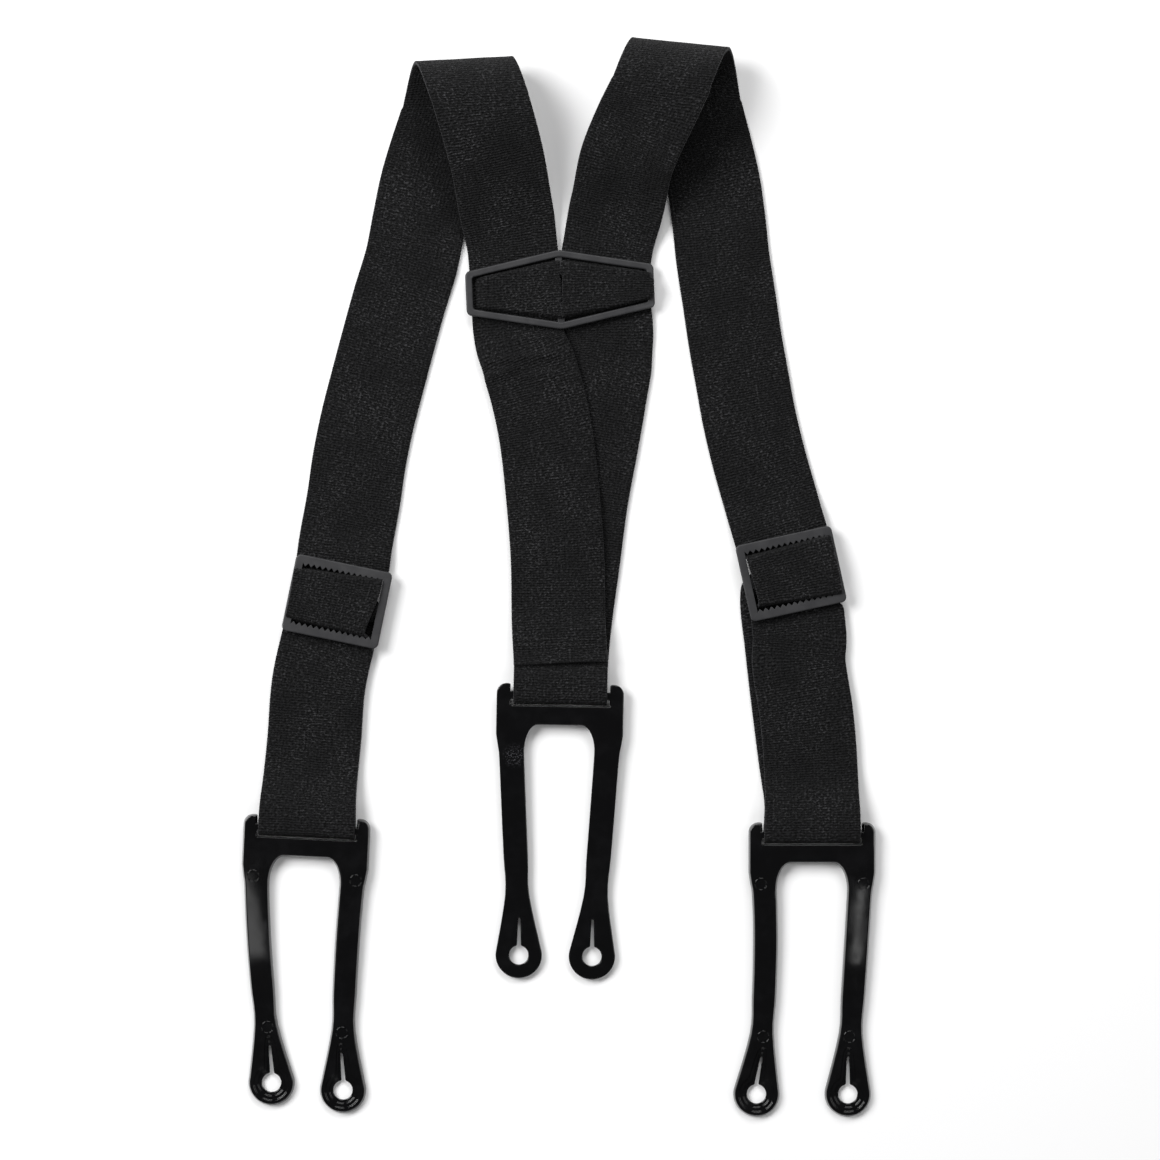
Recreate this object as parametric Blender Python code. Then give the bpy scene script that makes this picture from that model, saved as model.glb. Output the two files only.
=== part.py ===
"""Button-on suspenders with a Y back, lying flat with the straps folded at the shoulders.

Two elastic straps pass through a back plate, fold over at the shoulders, run down through
toothed slide adjusters and turn round the bars of forked button ends. Metres, +Z up, the
shoulder folds towards +Y, the button ends towards -Y, the lowest surface at z = 0.
"""

import math

import bmesh
import bpy
from mathutils import Vector
from mathutils.geometry import tessellate_polygon

# ---- Driving dimensions, in metres ----
FIT_GAP = 0.0003                # between pieces that touch

WEBBING_WIDTH = 0.038
WEBBING_THICKNESS = 0.0015
SECTION_GAP = 0.0003            # between two lengths of the same strap
LOOP_SECTION_GAP = 0.0007       # the same where the strap turns slightly, above a fork

FORK_THICKNESS = 0.0024
FORK_EAR = 0.00555              # head material on each side of the slot
FORK_SLOT_PLAY = 0.0012         # room beside the webbing at each end of the slot
FORK_BAR = 0.0032               # height of the bar that the webbing turns round
FORK_BAR_DROP = 0.0047          # head's top edge to the middle of that bar
FORK_LENGTH = 0.1104            # head's top edge to the middle of the button eyes
FORK_LEG_WIDTH = 0.0098
LEG_ROOT = 0.0270               # head's top edge to where the legs start to flex
EYE_SPACING = 0.0297
EYE_LOBE_RADIUS = 0.0094
EYE_RADIUS = 0.0039
EYE_SLIT_LENGTH = 0.0150        # eye centre to the top of its slit
EYE_SLIT_WIDTH = 0.0016

ADJUSTER_HEIGHT = 0.0316
ADJUSTER_BAR = 0.0032
ADJUSTER_SIDE_BAR = 0.00315
ADJUSTER_THICKNESS = 0.0024
ADJUSTER_SQUEEZE = 0.0046       # how much narrower than the webbing its window is
TOOTH_COUNT = 14
TOOTH_HEIGHT = 0.0012
CENTRE_BAR_WIDTH = 0.0032
CENTRE_BAR_THICKNESS = 0.0016
CENTRE_BAR_BITE = 0.0005        # how far a centre bar reaches up into its frame

PLATE_MID_HEIGHT = 0.0323
PLATE_END_HEIGHT = 0.0175
PLATE_BAR = 0.0028
PLATE_THICKNESS = 0.0024
PLATE_SQUEEZE = 0.0040          # how much narrower than the webbing each window is

THREAD_THICKNESS = 0.0004
THREAD_WIDTH = 0.0008
STITCH_PITCH = 0.0026
EDGE_BEVEL = 0.0004
ROUND_STEPS = 6                 # segments in a quarter turn

# ---- Where the pieces lie ----
REAR_FORK_TOP = (0.0002, -0.0421)
REAR_FORK_TURN = math.radians(-1.1)
LEFT_FORK_TOP = (-0.1024, -0.0959)
LEFT_FORK_TURN = math.radians(-2.75)
RIGHT_FORK_TOP = (0.1022, -0.0983)
RIGHT_FORK_TURN = 0.0
LEFT_FORK_FLEX = (0.0053, 0.0047)     # sideways bend of its left and right leg at the eye
RIGHT_FORK_FLEX = (-0.0076, -0.0002)
LEFT_FORK_DRAW = 0.0017               # how much a bowed leg's eye is drawn back to the head

LEFT_ADJUSTER = (-0.0903, -0.0087)
LEFT_ADJUSTER_TURN = math.radians(-11.7)
RIGHT_ADJUSTER = (0.0936, 0.0026)
RIGHT_ADJUSTER_TURN = math.radians(12.4)

PLATE = (0.0, 0.1177)
PLATE_TURN = math.radians(2.5)

LEFT_CREST = (-0.0390, 0.2094)        # middle of the strap at the furthest point of its fold
RIGHT_CREST = (0.0490, 0.2157)
LEFT_CREST_TURN = math.radians(3.0)   # direction of the fold line
RIGHT_CREST_TURN = math.radians(-5.9)
LEFT_FOLD_SLANT = math.radians(15.5)  # strap direction against the square of the fold line
RIGHT_FOLD_SLANT = math.radians(-14.9)
LEFT_FOLD_REACH = 0.016
RIGHT_FOLD_REACH = 0.018
LEFT_FOLD_RISE = 0.0115
RIGHT_FOLD_RISE = 0.0135

FOLD_TAIL = 0.014                     # straight webbing kept on each end of a fold's length
FRONT_SPLIT = 0.095                   # world Y where the adjusters' travel ends
BACK_SPLIT = 0.045                    # world Y where the back plate's travel ends
TAIL_LENGTH = 0.0052                  # sewn end past an adjuster's centre bar
REAR_TAIL = 0.0190                    # sewn end above the rear fork's bar
STRAP_LEAN = 0.05                     # share of its width that a slanting strap's edge leads by
CLIMB = 0.0030                        # length in which a strap climbs onto the other
LOOP_LEAD = 0.004                     # straight webbing beside a fork's bar
SQUARE_LEAD = 0.012                   # straight run that brings a strap square to a fork
SEAM_DROP = 0.004                     # an adjuster's middle to its tail seam
REAR_SEAM = -0.0337                   # world Y of the left strap's cut end

# ---- Values that follow from the sizes ----
LAYER = WEBBING_THICKNESS + FIT_GAP
HALF_WEB = WEBBING_THICKNESS / 2
FORK_SLOT_WIDTH = WEBBING_WIDTH + 2 * FORK_SLOT_PLAY
FORK_HALF_WIDTH = FORK_SLOT_WIDTH / 2 + FORK_EAR
LOOP_RADIUS = math.hypot(FORK_BAR, FORK_THICKNESS) / 2 + FIT_GAP + HALF_WEB
LOOP_HEIGHT = LOOP_RADIUS + HALF_WEB + FIT_GAP / 2
FORK_SLOT_END = FORK_BAR_DROP + LOOP_RADIUS + HALF_WEB + 0.0005
FORK_PITCH = math.asin((LOOP_HEIGHT - FORK_THICKNESS / 2)
                       / (FORK_LENGTH + EYE_LOBE_RADIUS - FORK_BAR_DROP))

ADJUSTER_WINDOW = WEBBING_WIDTH - ADJUSTER_SQUEEZE
ADJUSTER_WIDTH = ADJUSTER_WINDOW + 2 * ADJUSTER_SIDE_BAR
ADJUSTER_BASE = 2 * LAYER + FIT_GAP
ADJUSTER_BAR_TOP = ADJUSTER_BASE + CENTRE_BAR_BITE
ADJUSTER_BAR_BASE = ADJUSTER_BAR_TOP - CENTRE_BAR_THICKNESS
ADJUSTER_WEB_WIDTH = ADJUSTER_WINDOW - 0.0014

PLATE_WINDOW = WEBBING_WIDTH - PLATE_SQUEEZE
PLATE_HALF_WIDTH = PLATE_WINDOW + 1.5 * PLATE_BAR
PLATE_WEB_WIDTH = PLATE_WINDOW - 0.0020
PLATE_LANE = (PLATE_WINDOW + PLATE_BAR) / 2
PLATE_BASE = LAYER + 2 * FIT_GAP + 0.0005
PLATE_WEB_HEIGHT = PLATE_BASE - FIT_GAP - 0.0001 - HALF_WEB

# ---- Finishes: colour, roughness, metallic ----
FINISHES = {
    "webbing": ((0.012, 0.012, 0.013), 0.85, 0.0),
    "fork_plastic": ((0.006, 0.006, 0.007), 0.18, 0.0),
    "buckle_plastic": ((0.058, 0.058, 0.062), 0.55, 0.0),
    "thread": ((0.014, 0.014, 0.015), 0.7, 0.0),
}


# ---- Scene ----
def clear_scene():
    for item in list(bpy.data.objects):
        bpy.data.objects.remove(item, do_unlink=True)


def finish(name):
    """The shared material of one finish."""
    found = bpy.data.materials.get(name)
    if found:
        return found
    colour, roughness, metallic = FINISHES[name]
    material = bpy.data.materials.new(name)
    material.use_nodes = True
    shader = material.node_tree.nodes["Principled BSDF"]
    shader.inputs["Base Color"].default_value = (*colour, 1.0)
    shader.inputs["Roughness"].default_value = roughness
    shader.inputs["Metallic"].default_value = metallic
    return material


def add_object(name, vertices, faces, finish_name, smooth=False):
    mesh = bpy.data.meshes.new(name)
    mesh.from_pydata([tuple(v) for v in vertices], [], faces)
    work = bmesh.new()
    work.from_mesh(mesh)
    bmesh.ops.recalc_face_normals(work, faces=work.faces)
    work.to_mesh(mesh)
    work.free()
    mesh.materials.append(finish(finish_name))
    if smooth:
        mesh.shade_smooth()
        mesh.set_sharp_from_angle(angle=math.radians(35))
    made = bpy.data.objects.new(name, mesh)
    bpy.context.scene.collection.objects.link(made)
    return made


def place(item, at, height, turn, pitch=0.0):
    """Put an object's origin at a place, turned about Z after a pitch about its own X."""
    item.location = (at[0], at[1], height)
    item.rotation_euler = (pitch, 0.0, turn)


def join_block(target, low, high):
    """Weld a rectangular bar, given by its corners in the target's own frame, onto it."""
    xs, ys, zs = zip(low, high)
    corners = [(x, y, z) for x in xs for y in ys for z in zs]
    faces = [(0, 1, 3, 2), (4, 6, 7, 5), (0, 4, 5, 1), (2, 3, 7, 6), (0, 2, 6, 4), (1, 5, 7, 3)]
    block = add_object(target.name + "_bar", corners, faces, "buckle_plastic")
    block.parent = target
    block.hide_render = True
    block.display_type = "WIRE"
    weld = target.modifiers.new("centre_bar", "BOOLEAN")
    weld.operation = "UNION"
    weld.object = block


# ---- Flat moulded shapes ----
def inset(loop, distance):
    """A closed outline moved to its left by a distance, corner by corner."""
    moved = []
    for before, here, after in zip(loop[-1:] + loop[:-1], loop, loop[1:] + loop[:1]):
        first = (here - before).normalized()
        second = (after - here).normalized()
        bisector = (first + second).normalized()
        left = Vector((-bisector.y, bisector.x))
        across = Vector((-first.y, first.x))
        moved.append(here + left * (distance / max(0.5, left.dot(across))))
    return moved


def moulding(name, outer, holes, base, top, bevel, finish_name):
    """A flat plate with bevelled edges; the outline runs anticlockwise, the holes clockwise."""
    loops = [outer] + holes
    levels = [(base, bevel), (base + bevel, 0.0), (top - bevel, 0.0), (top, bevel)]
    vertices = []
    starts = []
    for height, distance in levels:
        starts.append(len(vertices))
        for loop in loops:
            vertices += [(p.x, p.y, height) for p in inset(loop, distance)]
    faces = []
    for low, high in zip(starts, starts[1:]):
        first = 0
        for loop in loops:
            count = len(loop)
            for k in range(count):
                a = first + k
                b = first + (k + 1) % count
                faces.append((low + a, low + b, high + b, high + a))
            first += count
    flat = [[Vector((p.x, p.y, 0.0)) for p in inset(loop, bevel)] for loop in loops]
    for triangle in tessellate_polygon(flat):
        faces.append(tuple(starts[0] + k for k in triangle))
        faces.append(tuple(starts[-1] + k for k in triangle))
    return add_object(name, vertices, faces, finish_name)


def arc(centre, radii, start, end, steps):
    """Points of an elliptical arc between two angles in degrees."""
    points = []
    for k in range(steps + 1):
        angle = math.radians(start + (end - start) * k / steps)
        points.append(Vector((centre[0] + radii[0] * math.cos(angle),
                              centre[1] + radii[1] * math.sin(angle))))
    return points


def rounded_box(half_width, low, high, radius):
    """A rectangle with round corners, anticlockwise."""
    right, left = half_width - radius, -half_width + radius
    steps = ROUND_STEPS // 2
    return (arc((right, high - radius), (radius, radius), 0, 90, steps)
            + arc((left, high - radius), (radius, radius), 90, 180, steps)
            + arc((left, low + radius), (radius, radius), 180, 270, steps)
            + arc((right, low + radius), (radius, radius), 270, 360, steps))


# ---- Button fork, in a frame at the middle of its bar with the head towards +Y ----
def leg_share(distance):
    """How far along a leg a place is, from its root below the head to its eye."""
    return max(0.0, (distance - LEG_ROOT) / (FORK_LENGTH - LEG_ROOT))


def down(distance, draw=0.0):
    """Local Y of a place given as its distance below the head's top edge."""
    return FORK_BAR_DROP - distance + draw * leg_share(distance) ** 2


def leg_bend(distance, flex):
    """Sideways move of a leg that is bent like a cantilever by flex at its eye."""
    share = leg_share(distance)
    return flex * share * share * (3 - share) / 2


def fork_leg(flex, draw):
    """Outline points of the right-hand leg from the head's outer corner to the crotch."""
    eye = EYE_SPACING / 2
    neck = FORK_LENGTH - 0.0245
    neck_out = eye + FORK_LEG_WIDTH * 0.61
    neck_in = eye - FORK_LEG_WIDTH * 0.39
    shoulder_in = neck_in + 0.0032
    corner = 0.0040
    points = arc((FORK_HALF_WIDTH - corner, down(corner)), (corner, corner), 90, 0, 4)
    outer = [(0.0205, FORK_HALF_WIDTH), (0.0250, FORK_HALF_WIDTH - 0.0007),
             (0.0290, FORK_HALF_WIDTH - 0.00135), (0.0420, FORK_HALF_WIDTH - 0.0022),
             (0.0570, FORK_HALF_WIDTH - 0.0031), (0.0710, neck_out + 0.0009),
             (neck, neck_out)]
    points += [Vector((u + leg_bend(v, flex), down(v, draw))) for v, u in outer]
    lobe_middle = eye + leg_bend(FORK_LENGTH, flex)
    points += arc((lobe_middle, down(FORK_LENGTH, draw)), (EYE_LOBE_RADIUS, EYE_LOBE_RADIUS),
                  12, -192, 4 * ROUND_STEPS)
    crotch_top = FORK_SLOT_END + 0.0077
    corner_depth = 0.0106
    corner_width = 0.0054
    inner = [(neck, neck_in), (0.0710, neck_in + 0.0008), (0.0500, neck_in + 0.0020),
             (0.0340, shoulder_in - 0.0003)]
    points += [Vector((u + leg_bend(v, flex), down(v, draw))) for v, u in inner]
    points += arc((shoulder_in - corner_width, down(crotch_top + corner_depth)),
                  (corner_width, corner_depth), 0, 90, ROUND_STEPS)
    return points


def keyhole(side, flex, draw):
    """Clockwise outline of one button eye with the slit above it."""
    middle = side * EYE_SPACING / 2 + leg_bend(FORK_LENGTH, flex)
    half = EYE_SLIT_WIDTH / 2
    throat = 20
    points = arc((middle, down(FORK_LENGTH, draw)), (EYE_RADIUS, EYE_RADIUS),
                 90 - throat, -270 + throat, 3 * ROUND_STEPS)
    lean = leg_bend(FORK_LENGTH, flex) - leg_bend(FORK_LENGTH - EYE_SLIT_LENGTH, flex)
    top = down(FORK_LENGTH, draw) + EYE_SLIT_LENGTH
    low = down(FORK_LENGTH, draw) + EYE_RADIUS + 0.0012
    points += [Vector((middle - half, low)), Vector((middle - lean - half * 0.6, top - half * 0.6)),
               Vector((middle - lean, top)), Vector((middle - lean + half * 0.6, top - half * 0.6)),
               Vector((middle + half, low))]
    return points


def button_fork(name, top, turn, flexes, left_draw=0.0):
    """A fork whose slotted head is held by the webbing and whose tips lie on the surface."""
    right = fork_leg(flexes[1], 0.0)
    left = [Vector((-p.x, p.y)) for p in fork_leg(-flexes[0], left_draw)]
    notch = FORK_SLOT_WIDTH / 2
    bar_top = FORK_BAR / 2
    head = [Vector((-notch, down(0))), Vector((-notch, bar_top)),
            Vector((notch, bar_top)), Vector((notch, down(0)))]
    outline = list(reversed(left)) + head + right
    outline.reverse()
    slot = rounded_box(notch, down(FORK_SLOT_END), -FORK_BAR / 2, 0.0006)
    slot.reverse()
    holes = [slot, keyhole(-1, flexes[0], left_draw), keyhole(1, flexes[1], 0.0)]
    fork = moulding(name, outline, holes, -FORK_THICKNESS / 2, FORK_THICKNESS / 2,
                    EDGE_BEVEL, "fork_plastic")
    fork.data.shade_smooth()
    fork.data.set_sharp_from_angle(angle=math.radians(35))
    place(fork, bar_middle(top, turn), LOOP_HEIGHT, turn, FORK_PITCH)


def heading(turn):
    """Unit directions across a strap and down it, for a piece turned about Z."""
    return (Vector((math.cos(turn), math.sin(turn), 0.0)),
            Vector((math.sin(turn), -math.cos(turn), 0.0)))


def bar_middle(top, turn):
    """Middle of a fork's bar, from the middle of its head's top edge."""
    middle = Vector((*top, 0.0)) + heading(turn)[1] * FORK_BAR_DROP
    return (middle.x, middle.y)


def above_bar(bar, turn):
    """Two route points that bring a strap square to a fork's bar."""
    above = Vector((*bar, 0.0)) - heading(turn)[1] * SQUARE_LEAD
    return [(above.x, above.y), bar]


# ---- Slide adjuster and back plate ----
def toothed_window():
    """Anticlockwise window outline with a row of teeth on its upper and lower edges."""
    half = ADJUSTER_WINDOW / 2
    edge = ADJUSTER_HEIGHT / 2 - ADJUSTER_BAR
    pitch = ADJUSTER_WINDOW / TOOTH_COUNT
    upper = []
    for k in range(TOOTH_COUNT):
        upper += [Vector((half - pitch * k, edge)),
                  Vector((half - pitch * (k + 0.5), edge - TOOTH_HEIGHT))]
    upper.append(Vector((-half, edge)))
    return upper + [Vector((-p.x, -p.y)) for p in upper]


def slide_adjuster(name, at, turn):
    outer = rounded_box(ADJUSTER_WIDTH / 2, -ADJUSTER_HEIGHT / 2, ADJUSTER_HEIGHT / 2, 0.0022)
    window = toothed_window()
    window.reverse()
    frame = moulding(name, outer, [window], 0.0, ADJUSTER_THICKNESS, EDGE_BEVEL * 0.6,
                     "buckle_plastic")
    place(frame, at, ADJUSTER_BASE, turn)
    half = ADJUSTER_WINDOW / 2 + ADJUSTER_SIDE_BAR / 2
    join_block(frame,
               (-half, -CENTRE_BAR_WIDTH / 2, ADJUSTER_BAR_BASE - ADJUSTER_BASE),
               (half, CENTRE_BAR_WIDTH / 2, CENTRE_BAR_BITE))


def six_sided(half_width, mid_height, end_height):
    """Anticlockwise six-sided outline, highest in the middle."""
    return [Vector((half_width, -end_height / 2)), Vector((half_width, end_height / 2)),
            Vector((0.0, mid_height / 2)), Vector((-half_width, end_height / 2)),
            Vector((-half_width, -end_height / 2)), Vector((0.0, -mid_height / 2))]


def softened(outline, cut):
    """The outline with each corner replaced by two points a short way along its sides."""
    points = []
    for before, here, after in zip(outline[-1:] + outline[:-1], outline,
                                   outline[1:] + outline[:1]):
        points.append(here + (before - here).normalized() * cut)
        points.append(here + (after - here).normalized() * cut)
    return points


def back_plate():
    slope = math.atan2((PLATE_MID_HEIGHT - PLATE_END_HEIGHT) / 2, PLATE_HALF_WIDTH)
    outline = six_sided(PLATE_HALF_WIDTH, PLATE_MID_HEIGHT, PLATE_END_HEIGHT)
    inner_half = PLATE_HALF_WIDTH - PLATE_BAR
    drop = 2 * PLATE_BAR / math.cos(slope)
    inner_end = PLATE_END_HEIGHT + 2 * PLATE_BAR * math.tan(slope) - drop
    window = six_sided(inner_half, PLATE_MID_HEIGHT - drop, inner_end)
    window.reverse()
    plate = moulding("back_plate", softened(outline, 0.0018), [softened(window, 0.0008)], 0.0,
                     PLATE_THICKNESS, EDGE_BEVEL, "buckle_plastic")
    place(plate, PLATE, PLATE_BASE, PLATE_TURN)
    reach = PLATE_MID_HEIGHT / 2 - PLATE_BAR / 2
    join_block(plate, (-PLATE_BAR / 2, -reach, PLATE_THICKNESS * 0.1),
               (PLATE_BAR / 2, reach, PLATE_THICKNESS * 0.6))


# ---- Webbing ----
def eased(knots, at):
    """The value at a place between (place, value) knots, level at every knot."""
    if at <= knots[0][0]:
        return knots[0][1]
    for (low, first), (high, second) in zip(knots, knots[1:]):
        if at <= high:
            share = (at - low) / (high - low)
            return first + (second - first) * share * share * (3 - 2 * share)
    return knots[-1][1]


def along(route, y):
    """X of a route at a given Y: a smooth curve through its (x, y) points, listed downwards."""
    last = len(route) - 1
    for k in range(last):
        if y >= route[k + 1][1] or k == last - 1:
            break
    (xa, ya), (xb, yb) = route[k], route[k + 1]
    before, after = route[max(0, k - 1)], route[min(last, k + 2)]
    slope_a = (xb - before[0]) / (yb - before[1])
    slope_b = (after[0] - xa) / (after[1] - ya)
    share = (y - ya) / (yb - ya)
    span = yb - ya
    return ((2 * share**3 - 3 * share**2 + 1) * xa + (share**3 - 2 * share**2 + share) * span * slope_a
            + (3 * share**2 - 2 * share**3) * xb + (share**3 - share**2) * span * slope_b)


def ribbon(name, stations, finish_name="webbing", thickness=WEBBING_THICKNESS):
    """A flat band through stations, each a middle point, a unit direction across and a width."""
    vertices = []
    last = len(stations) - 1
    for k, (middle, across, width) in enumerate(stations):
        ahead = stations[min(last, k + 1)][0] - stations[max(0, k - 1)][0]
        face_out = across.cross(ahead).normalized() * (thickness / 2)
        side = across * (width / 2)
        vertices += [middle - side - face_out, middle + side - face_out,
                     middle + side + face_out, middle - side + face_out]
    faces = [(0, 1, 2, 3), tuple(4 * last + k for k in (3, 2, 1, 0))]
    for k in range(last):
        for a in range(4):
            b = (a + 1) % 4
            faces.append((4 * k + a, 4 * k + b, 4 * k + 4 + b, 4 * k + 4 + a))
    return add_object(name, vertices, faces, finish_name, smooth=True)


def lying_stations(route, high, low, step, height_at, width_at):
    """Stations along a route between two world Y values, from high to low."""
    count = max(1, math.ceil((high - low) / step))
    stations = []
    for k in range(count + 1):
        y = high + (low - high) * k / count
        nudge = 0.0005
        slope = (along(route, y + nudge) - along(route, y - nudge)) / (2 * nudge)
        across = Vector((1.0, -slope, 0.0)).normalized()
        x = along(route, y)
        stations.append((Vector((x, y, height_at(x, y))), across, width_at(x, y)))
    return stations


def flat_height(x, y):
    """Middle height of webbing that lies on the surface."""
    return HALF_WEB


def full_width(x, y):
    """Width of webbing that nothing squeezes."""
    return WEBBING_WIDTH


def beside(at, turn, knots):
    """A function of world x and y that eases between knots placed down from a piece."""
    _, below = heading(turn)

    def value(x, y):
        return eased(knots, (x - at[0]) * below.x + (y - at[1]) * below.y)
    return value


def fold_frame(crest, turn, slant, reach, rise):
    """Start of a shoulder fold, its two plan directions, and its place as a function of angle."""
    line = Vector((math.cos(turn), math.sin(turn), 0.0))
    outwards = Vector((-math.sin(turn), math.cos(turn), 0.0))
    steps = 48
    lengths = [0.0]
    for k in range(steps):
        middle = math.pi * (k + 0.5) / steps
        lengths.append(lengths[-1] + math.hypot(reach * math.cos(middle), rise * math.sin(middle))
                       * math.pi / steps)
    start = (Vector((*crest, HALF_WEB)) - outwards * reach
             - line * (lengths[steps // 2] * math.tan(slant)))

    def at(share):
        angle = math.pi * share
        place_on = share * steps
        k = min(steps - 1, int(place_on))
        length = lengths[k] + (lengths[k + 1] - lengths[k]) * (place_on - k)
        middle = (start + outwards * (reach * math.sin(angle))
                  + Vector((0.0, 0.0, rise * (1 - math.cos(angle))))
                  + line * (length * math.tan(slant)))
        return middle
    return start, line, at


def squared_off(stations, line):
    """Stations whose direction across turns from the fold line to square with the strap."""
    turned_stations = []
    for k, (middle, across, width) in enumerate(stations):
        share = eased([(0.0, 0.0), (1.0, 1.0)], k / (len(stations) - 1))
        mixed = line.lerp(across, share).normalized()
        turned_stations.append((middle, mixed, width / mixed.dot(across)))
    return turned_stations


def shoulder_fold(name, start, end, line, slant, at, front_route, back_route, back_height):
    """The webbing of one shoulder: lying front end, fold and sloping back end."""
    fold_steps = 20
    front = squared_off(lying_stations(front_route, start.y, start.y - FOLD_TAIL, 0.0025,
                                       flat_height, full_width), line)
    stations = list(reversed(front))
    for k in range(1, fold_steps):
        stations.append((at(k / fold_steps), line, WEBBING_WIDTH / math.cos(slant)))
    stations += squared_off(lying_stations(back_route, end.y, end.y - FOLD_TAIL, 0.0025,
                                           back_height, full_width), line)
    ribbon(name, stations)
    return start.y - FOLD_TAIL, end.y - FOLD_TAIL


def turned(at, turn, profile, width):
    """Stations for a profile of (distance down, height) points square to a turned piece."""
    across, below = heading(turn)
    return [(Vector((*at, 0.0)) + below * v + Vector((0.0, 0.0, z)), across, width)
            for v, z in profile]


def fork_loop(name, at, turn, tail=()):
    """Webbing that turns round a fork's bar; tail adds profile points beyond the front lead."""
    top = LOOP_HEIGHT + LOOP_RADIUS
    low = LOOP_HEIGHT - LOOP_RADIUS
    profile = list(reversed(tail))
    profile += [(-LOOP_LEAD, top)]
    profile += [(p.x, p.y) for p in arc((0.0, LOOP_HEIGHT), (LOOP_RADIUS, LOOP_RADIUS),
                                        90, -90, 2 * ROUND_STEPS)]
    profile += [(-LOOP_LEAD, low)]
    ribbon(name, turned(at, turn, profile, WEBBING_WIDTH))


def front_strap(side, adjuster, adjuster_turn, fork_at, fork_turn, route, from_y):
    """The strap of one front side, from its shoulder fold to the fork and back."""
    _, below = heading(adjuster_turn)
    over_bar = ADJUSTER_BAR_TOP + FIT_GAP + LAYER + HALF_WEB
    under_frame = LAYER + HALF_WEB
    inner = ADJUSTER_HEIGHT / 2 - ADJUSTER_BAR - TOOTH_HEIGHT
    outer = ADJUSTER_HEIGHT / 2
    flat = CENTRE_BAR_WIDTH / 2 + LAYER + FIT_GAP
    loop_top = LOOP_HEIGHT + LOOP_RADIUS
    drop = (Vector(fork_at) - Vector(adjuster)).length - LOOP_LEAD
    height = beside(adjuster, adjuster_turn, [
        (-outer - 0.018, HALF_WEB), (-outer, under_frame), (-inner, under_frame),
        (-flat, over_bar), (flat + 2 * FIT_GAP, over_bar), (inner, under_frame), (outer, under_frame),
        (drop - 0.025, under_frame), (drop, loop_top)])
    width = beside(adjuster, adjuster_turn, [
        (-outer - 0.010, WEBBING_WIDTH), (-inner - 0.001, ADJUSTER_WEB_WIDTH),
        (inner + 0.001, ADJUSTER_WEB_WIDTH), (outer + 0.010, WEBBING_WIDTH),
        (drop - 0.020, WEBBING_WIDTH), (drop, WEBBING_WIDTH)])
    split = adjuster[1] + below.y * (outer + 0.004)
    end_y = fork_at[1] - heading(fork_turn)[1].y * LOOP_LEAD
    ribbon(f"{side}_front_webbing", lying_stations(
        route, from_y - SECTION_GAP, FRONT_SPLIT, 0.010, flat_height, full_width))
    ribbon(f"{side}_adjuster_webbing", lying_stations(
        route, FRONT_SPLIT - SECTION_GAP, split, 0.0015, height, width))
    ribbon(f"{side}_drop_webbing", lying_stations(
        route, split - SECTION_GAP, end_y + LOOP_SECTION_GAP, 0.004, height, width))
    fork_loop(f"{side}_fork_loop", fork_at, fork_turn)
    return_webbing(side, adjuster, adjuster_turn, fork_at, route, end_y, width)


def return_webbing(side, adjuster, turn, fork_at, route, end_y, width):
    """The strap's end: back up behind the front layer and round the adjuster's centre bar."""
    bar_gap = CENTRE_BAR_WIDTH / 2 + FIT_GAP + HALF_WEB
    low = ADJUSTER_BAR_BASE - FIT_GAP - HALF_WEB
    high = ADJUSTER_BAR_TOP + FIT_GAP + HALF_WEB
    middle = (low + high) / 2
    rest = low + LAYER
    wrap = [(CENTRE_BAR_WIDTH / 2, low)]
    wrap += [(-p.x, p.y) for p in arc((CENTRE_BAR_WIDTH / 2 - 0.0004, middle),
                                      (bar_gap - CENTRE_BAR_WIDTH / 2 + 0.0004, (high - low) / 2),
                                      -90, 90, 2 * ROUND_STEPS)]
    edge = CENTRE_BAR_WIDTH / 2
    wrap += [(edge + 0.0002, high), (edge + 0.0016, (high + rest) / 2 + 0.0001),
             (edge + 0.0026, rest + 0.0002), (TAIL_LENGTH, rest)]
    stations = turned(adjuster, turn, list(reversed(wrap)), ADJUSTER_WEB_WIDTH)
    _, below = heading(turn)
    start_y = adjuster[1] + below.y * (CENTRE_BAR_WIDTH / 2 + 0.003)
    height = beside(adjuster, turn, [(0.0, low), (ADJUSTER_HEIGHT / 2, HALF_WEB)])
    lying = lying_stations(route, start_y, end_y + LOOP_SECTION_GAP, 0.004, height, width)
    ribbon(f"{side}_return_webbing", stations + lying)


def stitching(name, at, turn, height, length):
    """One zigzag row of thread across a strap, as a flat band."""
    across, below = heading(turn)
    middle = Vector((*at, height))
    steps = 2 * round(length / STITCH_PITCH)
    stations = []
    for k in range(steps + 1):
        swing = THREAD_WIDTH if k % 2 else -THREAD_WIDTH
        point = middle + across * (length * (k / steps - 0.5)) + below * swing
        stations.append((point, below, THREAD_WIDTH))
    ribbon(name, stations, "thread", THREAD_THICKNESS)


def tail_seam(side, adjuster, turn):
    """The thread under an adjuster that holds the strap's folded end."""
    middle = Vector((*adjuster, 0.0)) + heading(turn)[1] * SEAM_DROP
    stitching(f"{side}_tail_stitching", (middle.x, middle.y), turn,
              FIT_GAP / 2 + THREAD_THICKNESS / 2, ADJUSTER_WEB_WIDTH * 0.9)


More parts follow.
